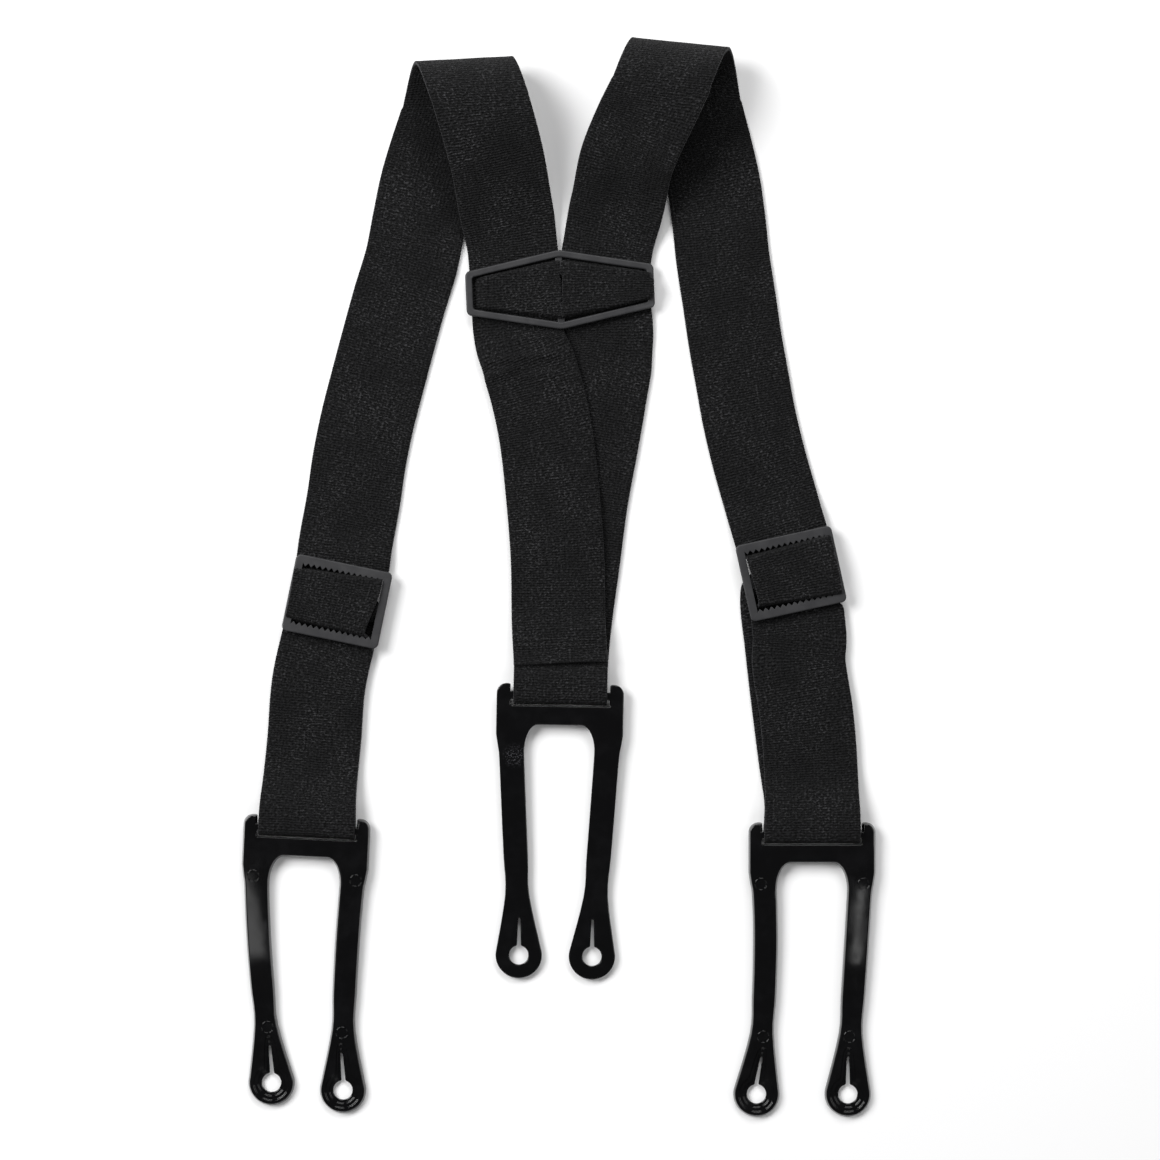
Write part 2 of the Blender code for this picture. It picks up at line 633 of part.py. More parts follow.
# ---- The straps' routes, as (x, y) points listed downwards ----
LEFT_FRONT_ROUTE = [
    (-0.0536, 0.1626), (-0.0571, 0.1463), (-0.0603, 0.1300), (-0.0652, 0.1138), (-0.0697, 0.0975),
    (-0.0740, 0.0813), (-0.0782, 0.0650), (-0.0815, 0.0488), (-0.0839, 0.0325), (-0.0868, 0.0163)]
LEFT_DROP_ROUTE = [(-0.0977, -0.0406), (-0.0998, -0.0650)]
RIGHT_FRONT_ROUTE = [
    (0.0620, 0.1626), (0.0644, 0.1463), (0.0662, 0.1300), (0.0687, 0.1138), (0.0711, 0.0975),
    (0.0740, 0.0813), (0.0770, 0.0650), (0.0809, 0.0488), (0.0862, 0.0300)]
RIGHT_DROP_ROUTE = [(0.0992, -0.0340), (0.1014, -0.0600)]
LEFT_BACK_ROUTE = [(-0.0256, 0.1707), (-0.0226, 0.1544)]
LEFT_REAR_ROUTE = [
    (-0.0163, 0.0975), (-0.0126, 0.0870), (-0.0087, 0.0732), (-0.0055, 0.0569), (-0.0028, 0.0325),
    (-0.0010, 0.0081), (-0.0006, -0.0163), (0.0003, -0.0345), (0.0003, -0.0400)]
RIGHT_BACK_ROUTE = [(0.0276, 0.1707), (0.0238, 0.1544)]
RIGHT_REAR_ROUTE = [
    (0.0195, 0.0975), (0.0159, 0.0732), (0.0131, 0.0569), (0.0086, 0.0325), (0.0054, 0.0081),
    (0.0021, -0.0163), (0.0006, -0.0325)]


def back_strap(sign, back_route, rear_route, fold_end, low_height, rear_knots, rear_end):
    """Routes, heights and widths of one strap from its shoulder fold to the rear."""
    across, _ = heading(PLATE_TURN)
    lane = (PLATE[0] + sign * PLATE_LANE * across.x, PLATE[1] + sign * PLATE_LANE * across.y)
    above = (sign * (PLATE_LANE + 0.0008), PLATE[1] + PLATE_MID_HEIGHT / 2)
    route = [(fold_end.x, fold_end.y)] + back_route + [above, lane] + rear_route
    slope = math.atan2((PLATE_MID_HEIGHT - PLATE_END_HEIGHT) / 2, PLATE_HALF_WIDTH)
    end_gap = (PLATE_END_HEIGHT / 2 - PLATE_BAR / math.cos(slope)) - FIT_GAP * 3
    outside = PLATE_MID_HEIGHT / 2 + FIT_GAP
    crown = PLATE_WEB_HEIGHT + 0.0018
    fold_start = PLATE[1] - fold_end.y
    drop = PLATE[1] - lane[1]
    rear_knots = [(place_down - drop, value) for place_down, value in rear_knots]
    fold_start -= drop
    height = beside(lane, 0.0, [
        (fold_start, fold_end.z), (-outside, PLATE_WEB_HEIGHT), (-end_gap, PLATE_WEB_HEIGHT),
        (-end_gap * 0.4, crown), (end_gap * 0.4, crown), (end_gap, low_height),
        (outside + WEBBING_WIDTH * STRAP_LEAN, low_height)] + rear_knots)
    under = PLATE_WEB_WIDTH + 0.0040
    width = beside(lane, 0.0, [
        (-outside - 0.020, WEBBING_WIDTH), (-outside, under), (-end_gap - 0.001, under),
        (-end_gap, PLATE_WEB_WIDTH), (end_gap, PLATE_WEB_WIDTH), (end_gap + 0.001, under),
        (outside + 0.006, under), (outside + 0.016, WEBBING_WIDTH),
        (lane[1] - rear_end - 0.020, WEBBING_WIDTH), (lane[1] - rear_end, WEBBING_WIDTH)])
    return route, height, width


def sloping_and_rear(side, route, height, width, fold_y, rear_end):
    ribbon(f"{side}_plate_webbing", lying_stations(
        route, fold_y - SECTION_GAP, BACK_SPLIT, 0.0020, height, width))
    ribbon(f"{side}_rear_webbing", lying_stations(
        route, BACK_SPLIT - SECTION_GAP, rear_end, 0.0025, height, width))


def shoulder(side, sign, crest, turn, slant, reach, rise, front, back, rear, low_height,
             knots, rear_end):
    """One shoulder fold with the strap that slopes from it to the back plate and the rear."""
    start, line, at = fold_frame(crest, turn, slant, reach, rise)
    end = at(1.0)
    front_route = [(start.x, start.y)] + front
    route, height, width = back_strap(sign, back, rear, end, low_height, knots, rear_end)
    front_y, back_y = shoulder_fold(f"{side}_shoulder_webbing", start, end, line, slant, at,
                                    front_route, route, height)
    sloping_and_rear(side, route, height, width, back_y, rear_end)
    return front_route, front_y


def rear_tail_height(distance):
    """Height of the right strap's sewn end at a distance above the rear fork's bar."""
    return eased([(0.005, LOOP_HEIGHT + LOOP_RADIUS), (0.019, LAYER + HALF_WEB + FIT_GAP)],
                 distance)


def build():
    clear_scene()
    left_bar = bar_middle(LEFT_FORK_TOP, LEFT_FORK_TURN)
    right_bar = bar_middle(RIGHT_FORK_TOP, RIGHT_FORK_TURN)
    rear_bar = bar_middle(REAR_FORK_TOP, REAR_FORK_TURN)

    button_fork("left_front_fork", LEFT_FORK_TOP, LEFT_FORK_TURN, LEFT_FORK_FLEX,
                LEFT_FORK_DRAW)
    button_fork("right_front_fork", RIGHT_FORK_TOP, RIGHT_FORK_TURN, RIGHT_FORK_FLEX)
    button_fork("rear_fork", REAR_FORK_TOP, REAR_FORK_TURN, (0.0, 0.0))
    slide_adjuster("left_adjuster", LEFT_ADJUSTER, LEFT_ADJUSTER_TURN)
    slide_adjuster("right_adjuster", RIGHT_ADJUSTER, RIGHT_ADJUSTER_TURN)
    back_plate()

    second = LAYER + HALF_WEB + FIT_GAP
    below_plate = PLATE_MID_HEIGHT / 2 + FIT_GAP + WEBBING_WIDTH * STRAP_LEAN + CLIMB
    tail_top = PLATE[1] - (rear_bar[1] + REAR_TAIL + 0.004)
    over_tail = LAYER + FIT_GAP * 2
    left_rear = [(below_plate, second), (tail_top - 0.014, second)]
    for k in range(8):
        rise = (REAR_TAIL + 0.004) * (1 - k / 7) + (REAR_SEAM - rear_bar[1]) * k / 7
        left_rear.append((PLATE[1] - rear_bar[1] - rise, rear_tail_height(rise) + over_tail))
    right_rear = [(below_plate, HALF_WEB), (PLATE[1] - rear_bar[1] - 0.020, HALF_WEB),
                  (PLATE[1] - rear_bar[1], LOOP_HEIGHT - LOOP_RADIUS)]

    left_front, left_y = shoulder(
        "left", -1, LEFT_CREST, LEFT_CREST_TURN, LEFT_FOLD_SLANT, LEFT_FOLD_REACH,
        LEFT_FOLD_RISE, LEFT_FRONT_ROUTE, LEFT_BACK_ROUTE, LEFT_REAR_ROUTE, PLATE_WEB_HEIGHT,
        left_rear, REAR_SEAM)
    right_front, right_y = shoulder(
        "right", 1, RIGHT_CREST, RIGHT_CREST_TURN, RIGHT_FOLD_SLANT, RIGHT_FOLD_REACH,
        RIGHT_FOLD_RISE, RIGHT_FRONT_ROUTE, RIGHT_BACK_ROUTE, RIGHT_REAR_ROUTE + [rear_bar],
        HALF_WEB + FIT_GAP, right_rear, rear_bar[1] + LOOP_LEAD + LOOP_SECTION_GAP)

    left_lead = above_bar(left_bar, LEFT_FORK_TURN)
    right_lead = above_bar(right_bar, RIGHT_FORK_TURN)
    front_strap("left", LEFT_ADJUSTER, LEFT_ADJUSTER_TURN, left_bar, LEFT_FORK_TURN,
                left_front + [LEFT_ADJUSTER] + LEFT_DROP_ROUTE + left_lead, left_y)
    front_strap("right", RIGHT_ADJUSTER, RIGHT_ADJUSTER_TURN, right_bar, RIGHT_FORK_TURN,
                right_front + [RIGHT_ADJUSTER] + RIGHT_DROP_ROUTE + right_lead, right_y)

    tail = [(-REAR_TAIL * k / 10, rear_tail_height(REAR_TAIL * k / 10)) for k in range(4, 11)]
    fork_loop("rear_fork_loop", rear_bar, REAR_FORK_TURN, tail)

    tail_seam("left", LEFT_ADJUSTER, LEFT_ADJUSTER_TURN)
    tail_seam("right", RIGHT_ADJUSTER, RIGHT_ADJUSTER_TURN)
    seam_y = rear_bar[1] + REAR_TAIL + 0.006
    seam_height = second + over_tail + HALF_WEB + FIT_GAP * 2 + THREAD_THICKNESS / 2
    stitching("rear_stitching", (along(LEFT_REAR_ROUTE, seam_y), seam_y), REAR_FORK_TURN,
              seam_height, WEBBING_WIDTH * 0.9)


build()
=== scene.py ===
import math

import bmesh
import bpy
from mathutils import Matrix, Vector, noise
from mathutils.geometry import tessellate_polygon

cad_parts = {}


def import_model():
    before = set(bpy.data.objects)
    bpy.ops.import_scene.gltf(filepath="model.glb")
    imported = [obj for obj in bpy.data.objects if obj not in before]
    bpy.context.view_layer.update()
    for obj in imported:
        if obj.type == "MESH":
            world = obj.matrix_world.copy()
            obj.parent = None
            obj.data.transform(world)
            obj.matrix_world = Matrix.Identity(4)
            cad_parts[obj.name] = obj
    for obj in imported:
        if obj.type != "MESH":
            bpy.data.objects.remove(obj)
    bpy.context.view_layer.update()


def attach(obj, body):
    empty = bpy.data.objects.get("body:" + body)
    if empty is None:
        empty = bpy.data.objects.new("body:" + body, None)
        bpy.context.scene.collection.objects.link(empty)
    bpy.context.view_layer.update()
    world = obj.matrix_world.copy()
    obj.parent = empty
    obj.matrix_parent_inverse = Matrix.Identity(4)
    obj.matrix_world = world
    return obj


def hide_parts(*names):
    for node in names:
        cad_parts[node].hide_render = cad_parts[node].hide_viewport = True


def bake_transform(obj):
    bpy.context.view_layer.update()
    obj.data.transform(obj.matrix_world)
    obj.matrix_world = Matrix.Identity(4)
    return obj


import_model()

# ---- Sizes shared with the frame, in metres ----
GAP = 0.0003
WEB_WIDTH = 0.038
WEB_THICKNESS = 0.0015
HALF_WEB = WEB_THICKNESS / 2
LAYER = WEB_THICKNESS + GAP

FORK_THICKNESS = 0.0024
FORK_EAR = 0.00555
FORK_SLOT_PLAY = 0.0012
LEG_ROOT = 0.0270
FORK_BAR = 0.0032
FORK_BAR_DROP = 0.0047
FORK_LENGTH = 0.1104
FORK_LEG_WIDTH = 0.0098
EYE_SPACING = 0.0297
EYE_LOBE_RADIUS = 0.0094
EYE_RADIUS = 0.0039
SLIT_LENGTH = 0.0150
SLIT_WIDTH = 0.0016
FORK_SLOT_WIDTH = WEB_WIDTH + 2 * FORK_SLOT_PLAY
FORK_HALF_WIDTH = FORK_SLOT_WIDTH / 2 + FORK_EAR
LOOP_RADIUS = math.hypot(FORK_BAR, FORK_THICKNESS) / 2 + GAP + HALF_WEB
LOOP_HEIGHT = LOOP_RADIUS + HALF_WEB + GAP / 2
FORK_SLOT_END = FORK_BAR_DROP + LOOP_RADIUS + HALF_WEB + 0.0005
FORK_PITCH = math.asin((LOOP_HEIGHT - FORK_THICKNESS / 2)
                       / (FORK_LENGTH + EYE_LOBE_RADIUS - FORK_BAR_DROP))

ADJUSTER_HEIGHT = 0.0316
ADJUSTER_BAR = 0.0032
ADJUSTER_SIDE_BAR = 0.00315
ADJUSTER_THICKNESS = 0.0024
ADJUSTER_WINDOW = WEB_WIDTH - 0.0046
ADJUSTER_WIDTH = ADJUSTER_WINDOW + 2 * ADJUSTER_SIDE_BAR
TOOTH_COUNT = 14
TOOTH_HEIGHT = 0.0012
CENTRE_BAR_WIDTH = 0.0032
CENTRE_BAR_BITE = 0.0005
CENTRE_BAR_THICKNESS = 0.0016
ADJUSTER_BASE = 2 * LAYER + GAP
ADJUSTER_BAR_TOP = ADJUSTER_BASE + CENTRE_BAR_BITE
ADJUSTER_BAR_BASE = ADJUSTER_BAR_TOP - CENTRE_BAR_THICKNESS

PLATE_MID_HEIGHT = 0.0323
PLATE_END_HEIGHT = 0.0175
PLATE_BAR = 0.0028
PLATE_THICKNESS = 0.0024
PLATE_WINDOW = WEB_WIDTH - 0.0040
PLATE_HALF_WIDTH = PLATE_WINDOW + 1.5 * PLATE_BAR
PLATE_LANE = (PLATE_WINDOW + PLATE_BAR) / 2
PLATE_BASE = LAYER + 2 * GAP + 0.0005
PLATE_WEB_HEIGHT = PLATE_BASE - GAP - 0.0001 - HALF_WEB
PLATE_SLOPE = math.atan2((PLATE_MID_HEIGHT - PLATE_END_HEIGHT) / 2, PLATE_HALF_WIDTH)

# ---- Where the pieces lie, as in the frame ----
REAR_FORK = {"top": (0.0002, -0.0421), "turn": math.radians(-1.1), "flex": (0.0, 0.0),
             "draw": 0.0}
LEFT_FORK = {"top": (-0.1024, -0.0959), "turn": math.radians(-2.75),
             "flex": (0.0053, 0.0047), "draw": 0.0017}
RIGHT_FORK = {"top": (0.1022, -0.0983), "turn": 0.0, "flex": (-0.0076, -0.0002), "draw": 0.0}
LEFT_ADJUSTER = ((-0.0903, -0.0087), math.radians(-11.7))
RIGHT_ADJUSTER = ((0.0936, 0.0026), math.radians(12.4))
PLATE = (0.0, 0.1177)
PLATE_TURN = math.radians(2.5)
LEFT_FOLD = {"crest": (-0.0390, 0.2094), "turn": math.radians(3.0), "slant": math.radians(15.5),
             "reach": 0.016, "rise": 0.0115}
RIGHT_FOLD = {"crest": (0.0490, 0.2157), "turn": math.radians(-5.9), "slant": math.radians(-14.9),
              "reach": 0.018, "rise": 0.0135}
BACK_SPLIT = 0.045
UNDER_PLATE_WIDTH = 0.0366
# The webbing's left and right edges at the top and at the bottom of an adjuster's window.
LEFT_WINDOW_EDGES = ((-0.0192, 0.0170), (-0.0191, 0.0138))
RIGHT_WINDOW_EDGES = ((-0.0162, 0.0192), (-0.0152, 0.0191))
SQUARING_REACH = 0.030
TAIL_LENGTH = 0.0052
REAR_TAIL = 0.0190
REAR_SEAM = -0.0337
LOOP_LEAD = 0.004
LOOP_WIDTH = 0.0390

LEFT_FRONT_ROUTE = [
    (-0.0536, 0.1626), (-0.0571, 0.1463), (-0.0603, 0.1300), (-0.0652, 0.1138), (-0.0697, 0.0975),
    (-0.0740, 0.0813), (-0.0782, 0.0650), (-0.0815, 0.0488), (-0.0839, 0.0325), (-0.0868, 0.0163)]
LEFT_DROP_ROUTE = [(-0.0977, -0.0406), (-0.0998, -0.0650)]
RIGHT_FRONT_ROUTE = [
    (0.0620, 0.1626), (0.0644, 0.1463), (0.0662, 0.1300), (0.0687, 0.1138), (0.0711, 0.0975),
    (0.0740, 0.0813), (0.0770, 0.0650), (0.0809, 0.0488), (0.0862, 0.0300)]
RIGHT_DROP_ROUTE = [
    (0.0972, -0.0220), (0.0968, -0.0325), (0.0980, -0.0420), (0.0998, -0.0530), (0.1014, -0.0700)]
RIGHT_RETURN_ROUTE = [
    (0.0921, -0.0081), (0.0938, -0.0244), (0.0956, -0.0406), (0.0976, -0.0569), (0.0997, -0.0732)]
LEFT_BACK_ROUTE = [(-0.0256, 0.1707), (-0.0226, 0.1544)]
LEFT_REAR_ROUTE = [
    (-0.0163, 0.0975), (-0.0126, 0.0870), (-0.0087, 0.0732), (-0.0055, 0.0569), (-0.0028, 0.0325),
    (-0.0010, 0.0081), (-0.0006, -0.0163), (0.0003, -0.0345), (0.0003, -0.0400)]
RIGHT_BACK_ROUTE = [(0.0276, 0.1707), (0.0238, 0.1544)]
RIGHT_REAR_ROUTE = [
    (0.0195, 0.0975), (0.0159, 0.0732), (0.0131, 0.0569), (0.0086, 0.0325), (0.0054, 0.0081),
    (0.0021, -0.0163), (0.0006, -0.0325)]

# ---- Surface detail ----
# Creases of the left strap below the plate: middle, turn, half length, half width, height.
WRINKLES = (((-0.0134, 0.0905), 5.6, 0.0150, 0.0019, 0.0021),
            ((-0.0240, 0.0840), 19.0, 0.0085, 0.0017, 0.0017),
            ((-0.0060, 0.0835), 4.0, 0.0070, 0.0015, 0.0009))

STATION_STEP = 0.0012           # along a strap
FINE_STEP = 0.0006              # along a strap where it passes through a window
ACROSS_STEPS = 18               # across a strap, on each face
RIB_PITCH = 0.00105
WARP_PITCH = 0.0013
STITCH_LENGTH = 0.0023
STITCH_ROW_GAP = 0.0022
THREAD_RADIUS = 0.00017
# Each step up from an eye is an S-shaped lip: start radius, end radius, rise.
EYE_LIPS = ((0.00505, 0.00565, 0.00040), (0.00680, 0.00745, 0.00045))
PIN_RADIUS = 0.0025             # round marks that the mould's pins leave on a fork
PIN_GROOVE_WIDTH = 0.00032
PIN_GROOVE_DEPTH = 0.00012
PIN_PLACES = ((0.0248, 0.0208), (FORK_LENGTH - 0.0235, 0.0153))  # distance down, distance out
FORK_DRAFT = 0.0006             # how much narrower a fork is at its recessed face
EDGE_ROUND = 0.0005             # rounded edges of the moulded pieces
CORNER_RADIUS = 0.0022          # outer corners of the adjusters and the back plate
SHARP_ANGLE = 38                # edges of the moulded pieces that turn more look sharp
ROUND_STEPS = 12                # segments in a quarter turn

# ---- Camera ----
CAMERA_HEIGHT = 1.6
VIEW_SIDE = 0.471424             # side of the square that the camera sees on the floor


# ---- Materials ----
class Nodes:
    """A short way to add and link shader nodes."""

    def __init__(self, name):
        self.material = bpy.data.materials.new(name)
        self.material.use_nodes = True
        self.tree = self.material.node_tree
        self.shader = self.tree.nodes["Principled BSDF"]

    def add(self, kind, settings=None, **inputs):
        node = self.tree.nodes.new(kind)
        for key, value in (settings or {}).items():
            setattr(node, key, value)
        for key, value in inputs.items():
            socket = node.inputs[int(key[1:])] if key[0] == "i" and key[1:].isdigit() \
                else node.inputs[key.replace("_", " ")]
            if isinstance(value, bpy.types.NodeSocket):
                self.tree.links.new(value, socket)
            else:
                socket.default_value = value
        return node

    def maths(self, operation, first, second=0.0, clamp=False):
        return self.add("ShaderNodeMath", {"operation": operation, "use_clamp": clamp},
                        i0=first, i1=second).outputs[0]

    def half_up(self, value):
        """Half of a value plus a half, which brings a sine between 0 and 1."""
        return self.add("ShaderNodeMath", {"operation": "MULTIPLY_ADD"}, i0=value, i1=0.5,
                        i2=0.5).outputs[0]

    def noise(self, vector, scale, detail=2.0, roughness=0.5):
        return self.add("ShaderNodeTexNoise", Vector=vector, Scale=scale, Detail=detail,
                        Roughness=roughness).outputs["Fac"]

    def ramp(self, value, low, high):
        node = self.add("ShaderNodeMapRange", {"interpolation_type": "SMOOTHSTEP"},
                        Value=value, From_Min=low, From_Max=high)
        return node.outputs["Result"]

    def vector(self, x, y, z=0.0):
        return self.add("ShaderNodeCombineXYZ", X=x, Y=y, Z=z).outputs[0]

    def mix(self, share, first, second):
        node = self.add("ShaderNodeMix", {"data_type": "RGBA"})
        self.tree.links.new(share, node.inputs["Factor"])
        for socket, value in ((node.inputs[6], first), (node.inputs[7], second)):
            if isinstance(value, bpy.types.NodeSocket):
                self.tree.links.new(value, socket)
            else:
                socket.default_value = (*value, 1.0)
        return node.outputs[2]

    def bump(self, height, distance, strength=1.0, after=None):
        node = self.add("ShaderNodeBump", Height=height, Distance=distance, Strength=strength)
        if after is not None:
            self.tree.links.new(after, node.inputs["Normal"])
        return node.outputs["Normal"]

    def set(self, socket, value):
        self.shader.inputs[socket].default_value = value

    def link(self, value, socket):
        self.tree.links.new(value, self.shader.inputs[socket])


def webbing_material():
    """Black elastic webbing: cross ribs of bulked yarn over covered rubber, flecked with light."""
    n = Nodes("elastic_webbing")
    lie = n.add("ShaderNodeAttribute", {"attribute_name": "lie"}).outputs["Vector"]
    parts = n.add("ShaderNodeSeparateXYZ", Vector=lie).outputs
    # The third coordinate is the share of painted highlight on the webbing's side edges.
    across, along, edge = parts[0], parts[1], parts[2]

    def woven(across_scale, along_scale, seed, detail, roughness):
        """Noise laid along the webbing, with its own scale across and along."""
        place = n.vector(n.maths("MULTIPLY", across, across_scale),
                         n.maths("MULTIPLY", along, along_scale), seed)
        return n.noise(place, 1.0, detail, roughness)

    # The ribs wander a little, so their phase takes a slow noise.
    drift = woven(160.0, 90.0, 0.0, 3.0, 0.5)
    phase = n.maths("ADD", n.maths("MULTIPLY", along, 2 * math.pi / RIB_PITCH),
                    n.maths("MULTIPLY", drift, 7.0))
    rib = n.half_up(n.maths("SINE", phase))
    warp_phase = n.maths("MULTIPLY", across, 2 * math.pi / WARP_PITCH)
    warp = n.half_up(n.maths("SINE", warp_phase))
    yarn = woven(850.0, 1450.0, 0.0, 2.0, 0.6)
    fleck = woven(880.0, 1200.0, 3.0, 2.0, 0.6)
    patch = woven(60.0, 45.0, 7.0, 3.0, 0.6)
    bright = n.maths("MULTIPLY", n.ramp(fleck, 0.50, 0.68), n.ramp(patch, 0.25, 0.75))
    body = n.maths("MULTIPLY", n.ramp(yarn, 0.36, 0.64), n.half_up(rib))
    dark = n.mix(body, (0.0006, 0.0006, 0.0008), (0.0120, 0.0120, 0.0127))
    flecked = n.mix(n.maths("MULTIPLY", bright, 0.8), dark, (0.062, 0.062, 0.065))
    # Painted highlight: the webbing's side edges are coloured lighter, as if they catch the light.
    edge_highlighted = n.mix(n.maths("MULTIPLY", edge, 0.8), flecked, (0.050, 0.050, 0.053))
    n.link(edge_highlighted, "Base Color")
    n.set("Roughness", 0.82)
    n.set("Specular IOR Level", 0.16)
    n.set("Sheen Weight", 0.015)
    n.set("Sheen Roughness", 0.5)
    relief = n.maths("ADD", n.maths("MULTIPLY", rib, 0.4), n.maths("MULTIPLY", yarn, 1.2))
    relief = n.maths("ADD", relief, n.maths("MULTIPLY", warp, 0.15))
    relief = n.maths("ADD", relief, n.maths("MULTIPLY", fleck, 0.9))
    n.link(n.bump(relief, 0.0009, 1.0), "Normal")
    return n.material


def fork_material(name, dusty):
    """Glossy black moulding with a faint flow waviness; dusty adds a chalky, rubbed-in dust mark."""
    n = Nodes(name)
    place = n.add("ShaderNodeTexCoord").outputs["Object"]
    waves = n.noise(place, 55.0, 2.0)
    fine = n.noise(place, 900.0, 3.0, 0.6)
    haze = n.ramp(n.noise(place, 120.0, 4.0, 0.6), 0.42, 0.72)
    colour = n.mix(haze, (0.0022, 0.0022, 0.0025), (0.0040, 0.0040, 0.0045))
    if dusty:
        spot = n.add("ShaderNodeVectorMath", {"operation": "DISTANCE"}, i0=place,
                     i1=dusty).outputs["Value"]
        near = n.ramp(spot, 0.0062, 0.0012)
        speck = n.ramp(n.noise(place, 1500.0, 3.0, 0.7), 0.50, 0.66)
        colour = n.mix(n.maths("MULTIPLY", near, n.maths("MULTIPLY", speck, 0.5)), colour,
                       (0.11, 0.11, 0.12))
    n.link(colour, "Base Color")
    rough = n.add("ShaderNodeMapRange", Value=haze, To_Min=0.03, To_Max=0.05).outputs["Result"]
    n.link(rough, "Roughness")
    first = n.bump(waves, 0.0001, 0.12)
    n.link(n.bump(fine, 0.000001, 0.2, first), "Normal")
    return n.material


def buckle_material():
    """Matte charcoal moulding with a fine spark-eroded grain and a painted highlight on its edges."""
    n = Nodes("charcoal_moulding")
    place = n.add("ShaderNodeTexCoord").outputs["Object"]
    grain = n.noise(place, 2600.0, 3.0, 0.6)
    cloud = n.noise(place, 140.0, 4.0, 0.6)
    pointed = n.add("ShaderNodeNewGeometry").outputs["Pointiness"]
    # Painted highlight: convex edges, found by pointiness, are coloured lighter as if catching the
    # light.
    lit_edge_share = n.ramp(pointed, 0.52, 0.62)
    colour = n.mix(n.ramp(cloud, 0.35, 0.70), (0.024, 0.024, 0.026), (0.033, 0.033, 0.035))
    colour = n.mix(n.maths("MULTIPLY", lit_edge_share, 0.35), colour, (0.08, 0.08, 0.085))
    n.link(colour, "Base Color")
    n.set("Specular IOR Level", 0.35)
    rough = n.add("ShaderNodeMapRange", Value=cloud, To_Min=0.42, To_Max=0.56).outputs["Result"]
    n.link(rough, "Roughness")
    n.link(n.bump(grain, 0.00004, 0.5), "Normal")
    return n.material


def thread_material():
    """Black twisted polyester thread."""
    n = Nodes("sewing_thread")
    place = n.add("ShaderNodeTexCoord").outputs["Object"]
    twist = n.noise(place, 5000.0, 2.0)
    n.link(n.mix(twist, (0.003, 0.003, 0.0035), (0.012, 0.012, 0.013)), "Base Color")
    n.set("Roughness", 0.6)
    n.link(n.bump(twist, 0.0001, 0.6), "Normal")
    return n.material


def floor_material():
    """Matte white paper with a barely visible tone."""
    n = Nodes("white_paper")
    place = n.add("ShaderNodeTexCoord").outputs["Object"]
    tone = n.noise(place, 6.0, 2.0)
    n.link(n.mix(tone, (0.93, 0.93, 0.935), (0.95, 0.95, 0.95)), "Base Color")
    n.set("Roughness", 0.9)
    n.set("Specular IOR Level", 0.1)
    return n.material


# ---- Mesh helpers ----
def new_piece(name, vertices, faces, material, sharp=None):
    mesh = bpy.data.meshes.new(name)
    mesh.from_pydata([tuple(v) for v in vertices], [], faces)
    work = bmesh.new()
    work.from_mesh(mesh)
    bmesh.ops.recalc_face_normals(work, faces=work.faces)
    work.to_mesh(mesh)
    work.free()
    mesh.shade_smooth()
    if sharp is not None:
        mesh.set_sharp_from_angle(angle=math.radians(sharp))
    mesh.materials.append(material)
    piece = bpy.data.objects.new(name, mesh)
    bpy.context.scene.collection.objects.link(piece)
    return piece


def eased(knots, at):
    """The value at a place between (place, value) knots, level at every knot."""
    if at <= knots[0][0]:
        return knots[0][1]
    for (low, first), (high, second) in zip(knots, knots[1:]):
        if at <= high:
            share = (at - low) / (high - low)
            return first + (second - first) * share * share * (3 - 2 * share)
    return knots[-1][1]


def heading(turn):
    """Unit directions across a strap and down it, for a piece turned about Z."""
    return (Vector((math.cos(turn), math.sin(turn), 0.0)),
            Vector((math.sin(turn), -math.cos(turn), 0.0)))


def arc(centre, radii, start, end, steps):
    points = []
    for k in range(steps + 1):
        angle = math.radians(start + (end - start) * k / steps)
        points.append(Vector((centre[0] + radii[0] * math.cos(angle),
                              centre[1] + radii[1] * math.sin(angle))))
    return points


def inset(loop, distance):
    """A closed outline moved to its left by a distance, corner by corner."""
    if distance == 0.0:
        return list(loop)
    moved = []
    for before, here, after in zip(loop[-1:] + loop[:-1], loop, loop[1:] + loop[:1]):
        first = (here - before).normalized()
        second = (after - here).normalized()
        bisector = (first + second).normalized()
        left = Vector((-bisector.y, bisector.x))
        across = Vector((-first.y, first.x))
        moved.append(here + left * (distance / max(0.5, left.dot(across))))
    return moved


class Moulding:
    """Collects the loops of a flat moulded piece with rounded edges."""

    def __init__(self, thickness, rounding):
        self.vertices = []
        self.faces = []
        self.half = thickness / 2
        self.rounding = rounding
        self.draft = 0.0
        self.caps = {1: [], -1: []}

    def ring(self, loop, height):
        first = len(self.vertices)
        self.vertices += [(p.x, p.y, height) for p in loop]
        return list(range(first, len(self.vertices)))

    def bridge(self, first, second):
        count = len(first)
        for k in range(count):
            j = (k + 1) % count
            self.faces.append((first[k], first[j], second[j], second[k]))

    def wall(self, loop, top=None):
        """The side of one outline, rounded into both faces; returns its upper ring."""
        top = self.half if top is None else top
        steps = 4
        # Each row is how far in from the outline and how far from the face a ring lies.
        rows = [(self.rounding * 1.35, 0.0)]
        for k in range(steps + 1):
            angle = math.pi / 2 * k / steps
            rows.append((self.rounding * (1 - math.sin(angle)),
                         self.rounding * (1 - math.cos(angle))))
        rings = [self.ring(inset(loop, away), -self.half + height) for away, height in rows]
        rings += [self.ring(inset(loop, away + self.draft), top - height)
                  for away, height in reversed(rows)]
        for low, high in zip(rings, rings[1:]):
            self.bridge(low, high)
        self.caps[-1].append(rings[0])
        return rings[-1]

    def outline(self, loop):
        """A wall whose upper ring bounds the upper face."""
        self.caps[1].append(self.wall(loop))

    def close(self, side):
        rings = self.caps[side]
        flat = [[Vector((self.vertices[k][0], self.vertices[k][1], 0.0)) for k in ring]
                for ring in rings]
        names = [k for ring in rings for k in ring]
        for triangle in tessellate_polygon(flat):
            self.faces.append(tuple(names[k] for k in triangle))


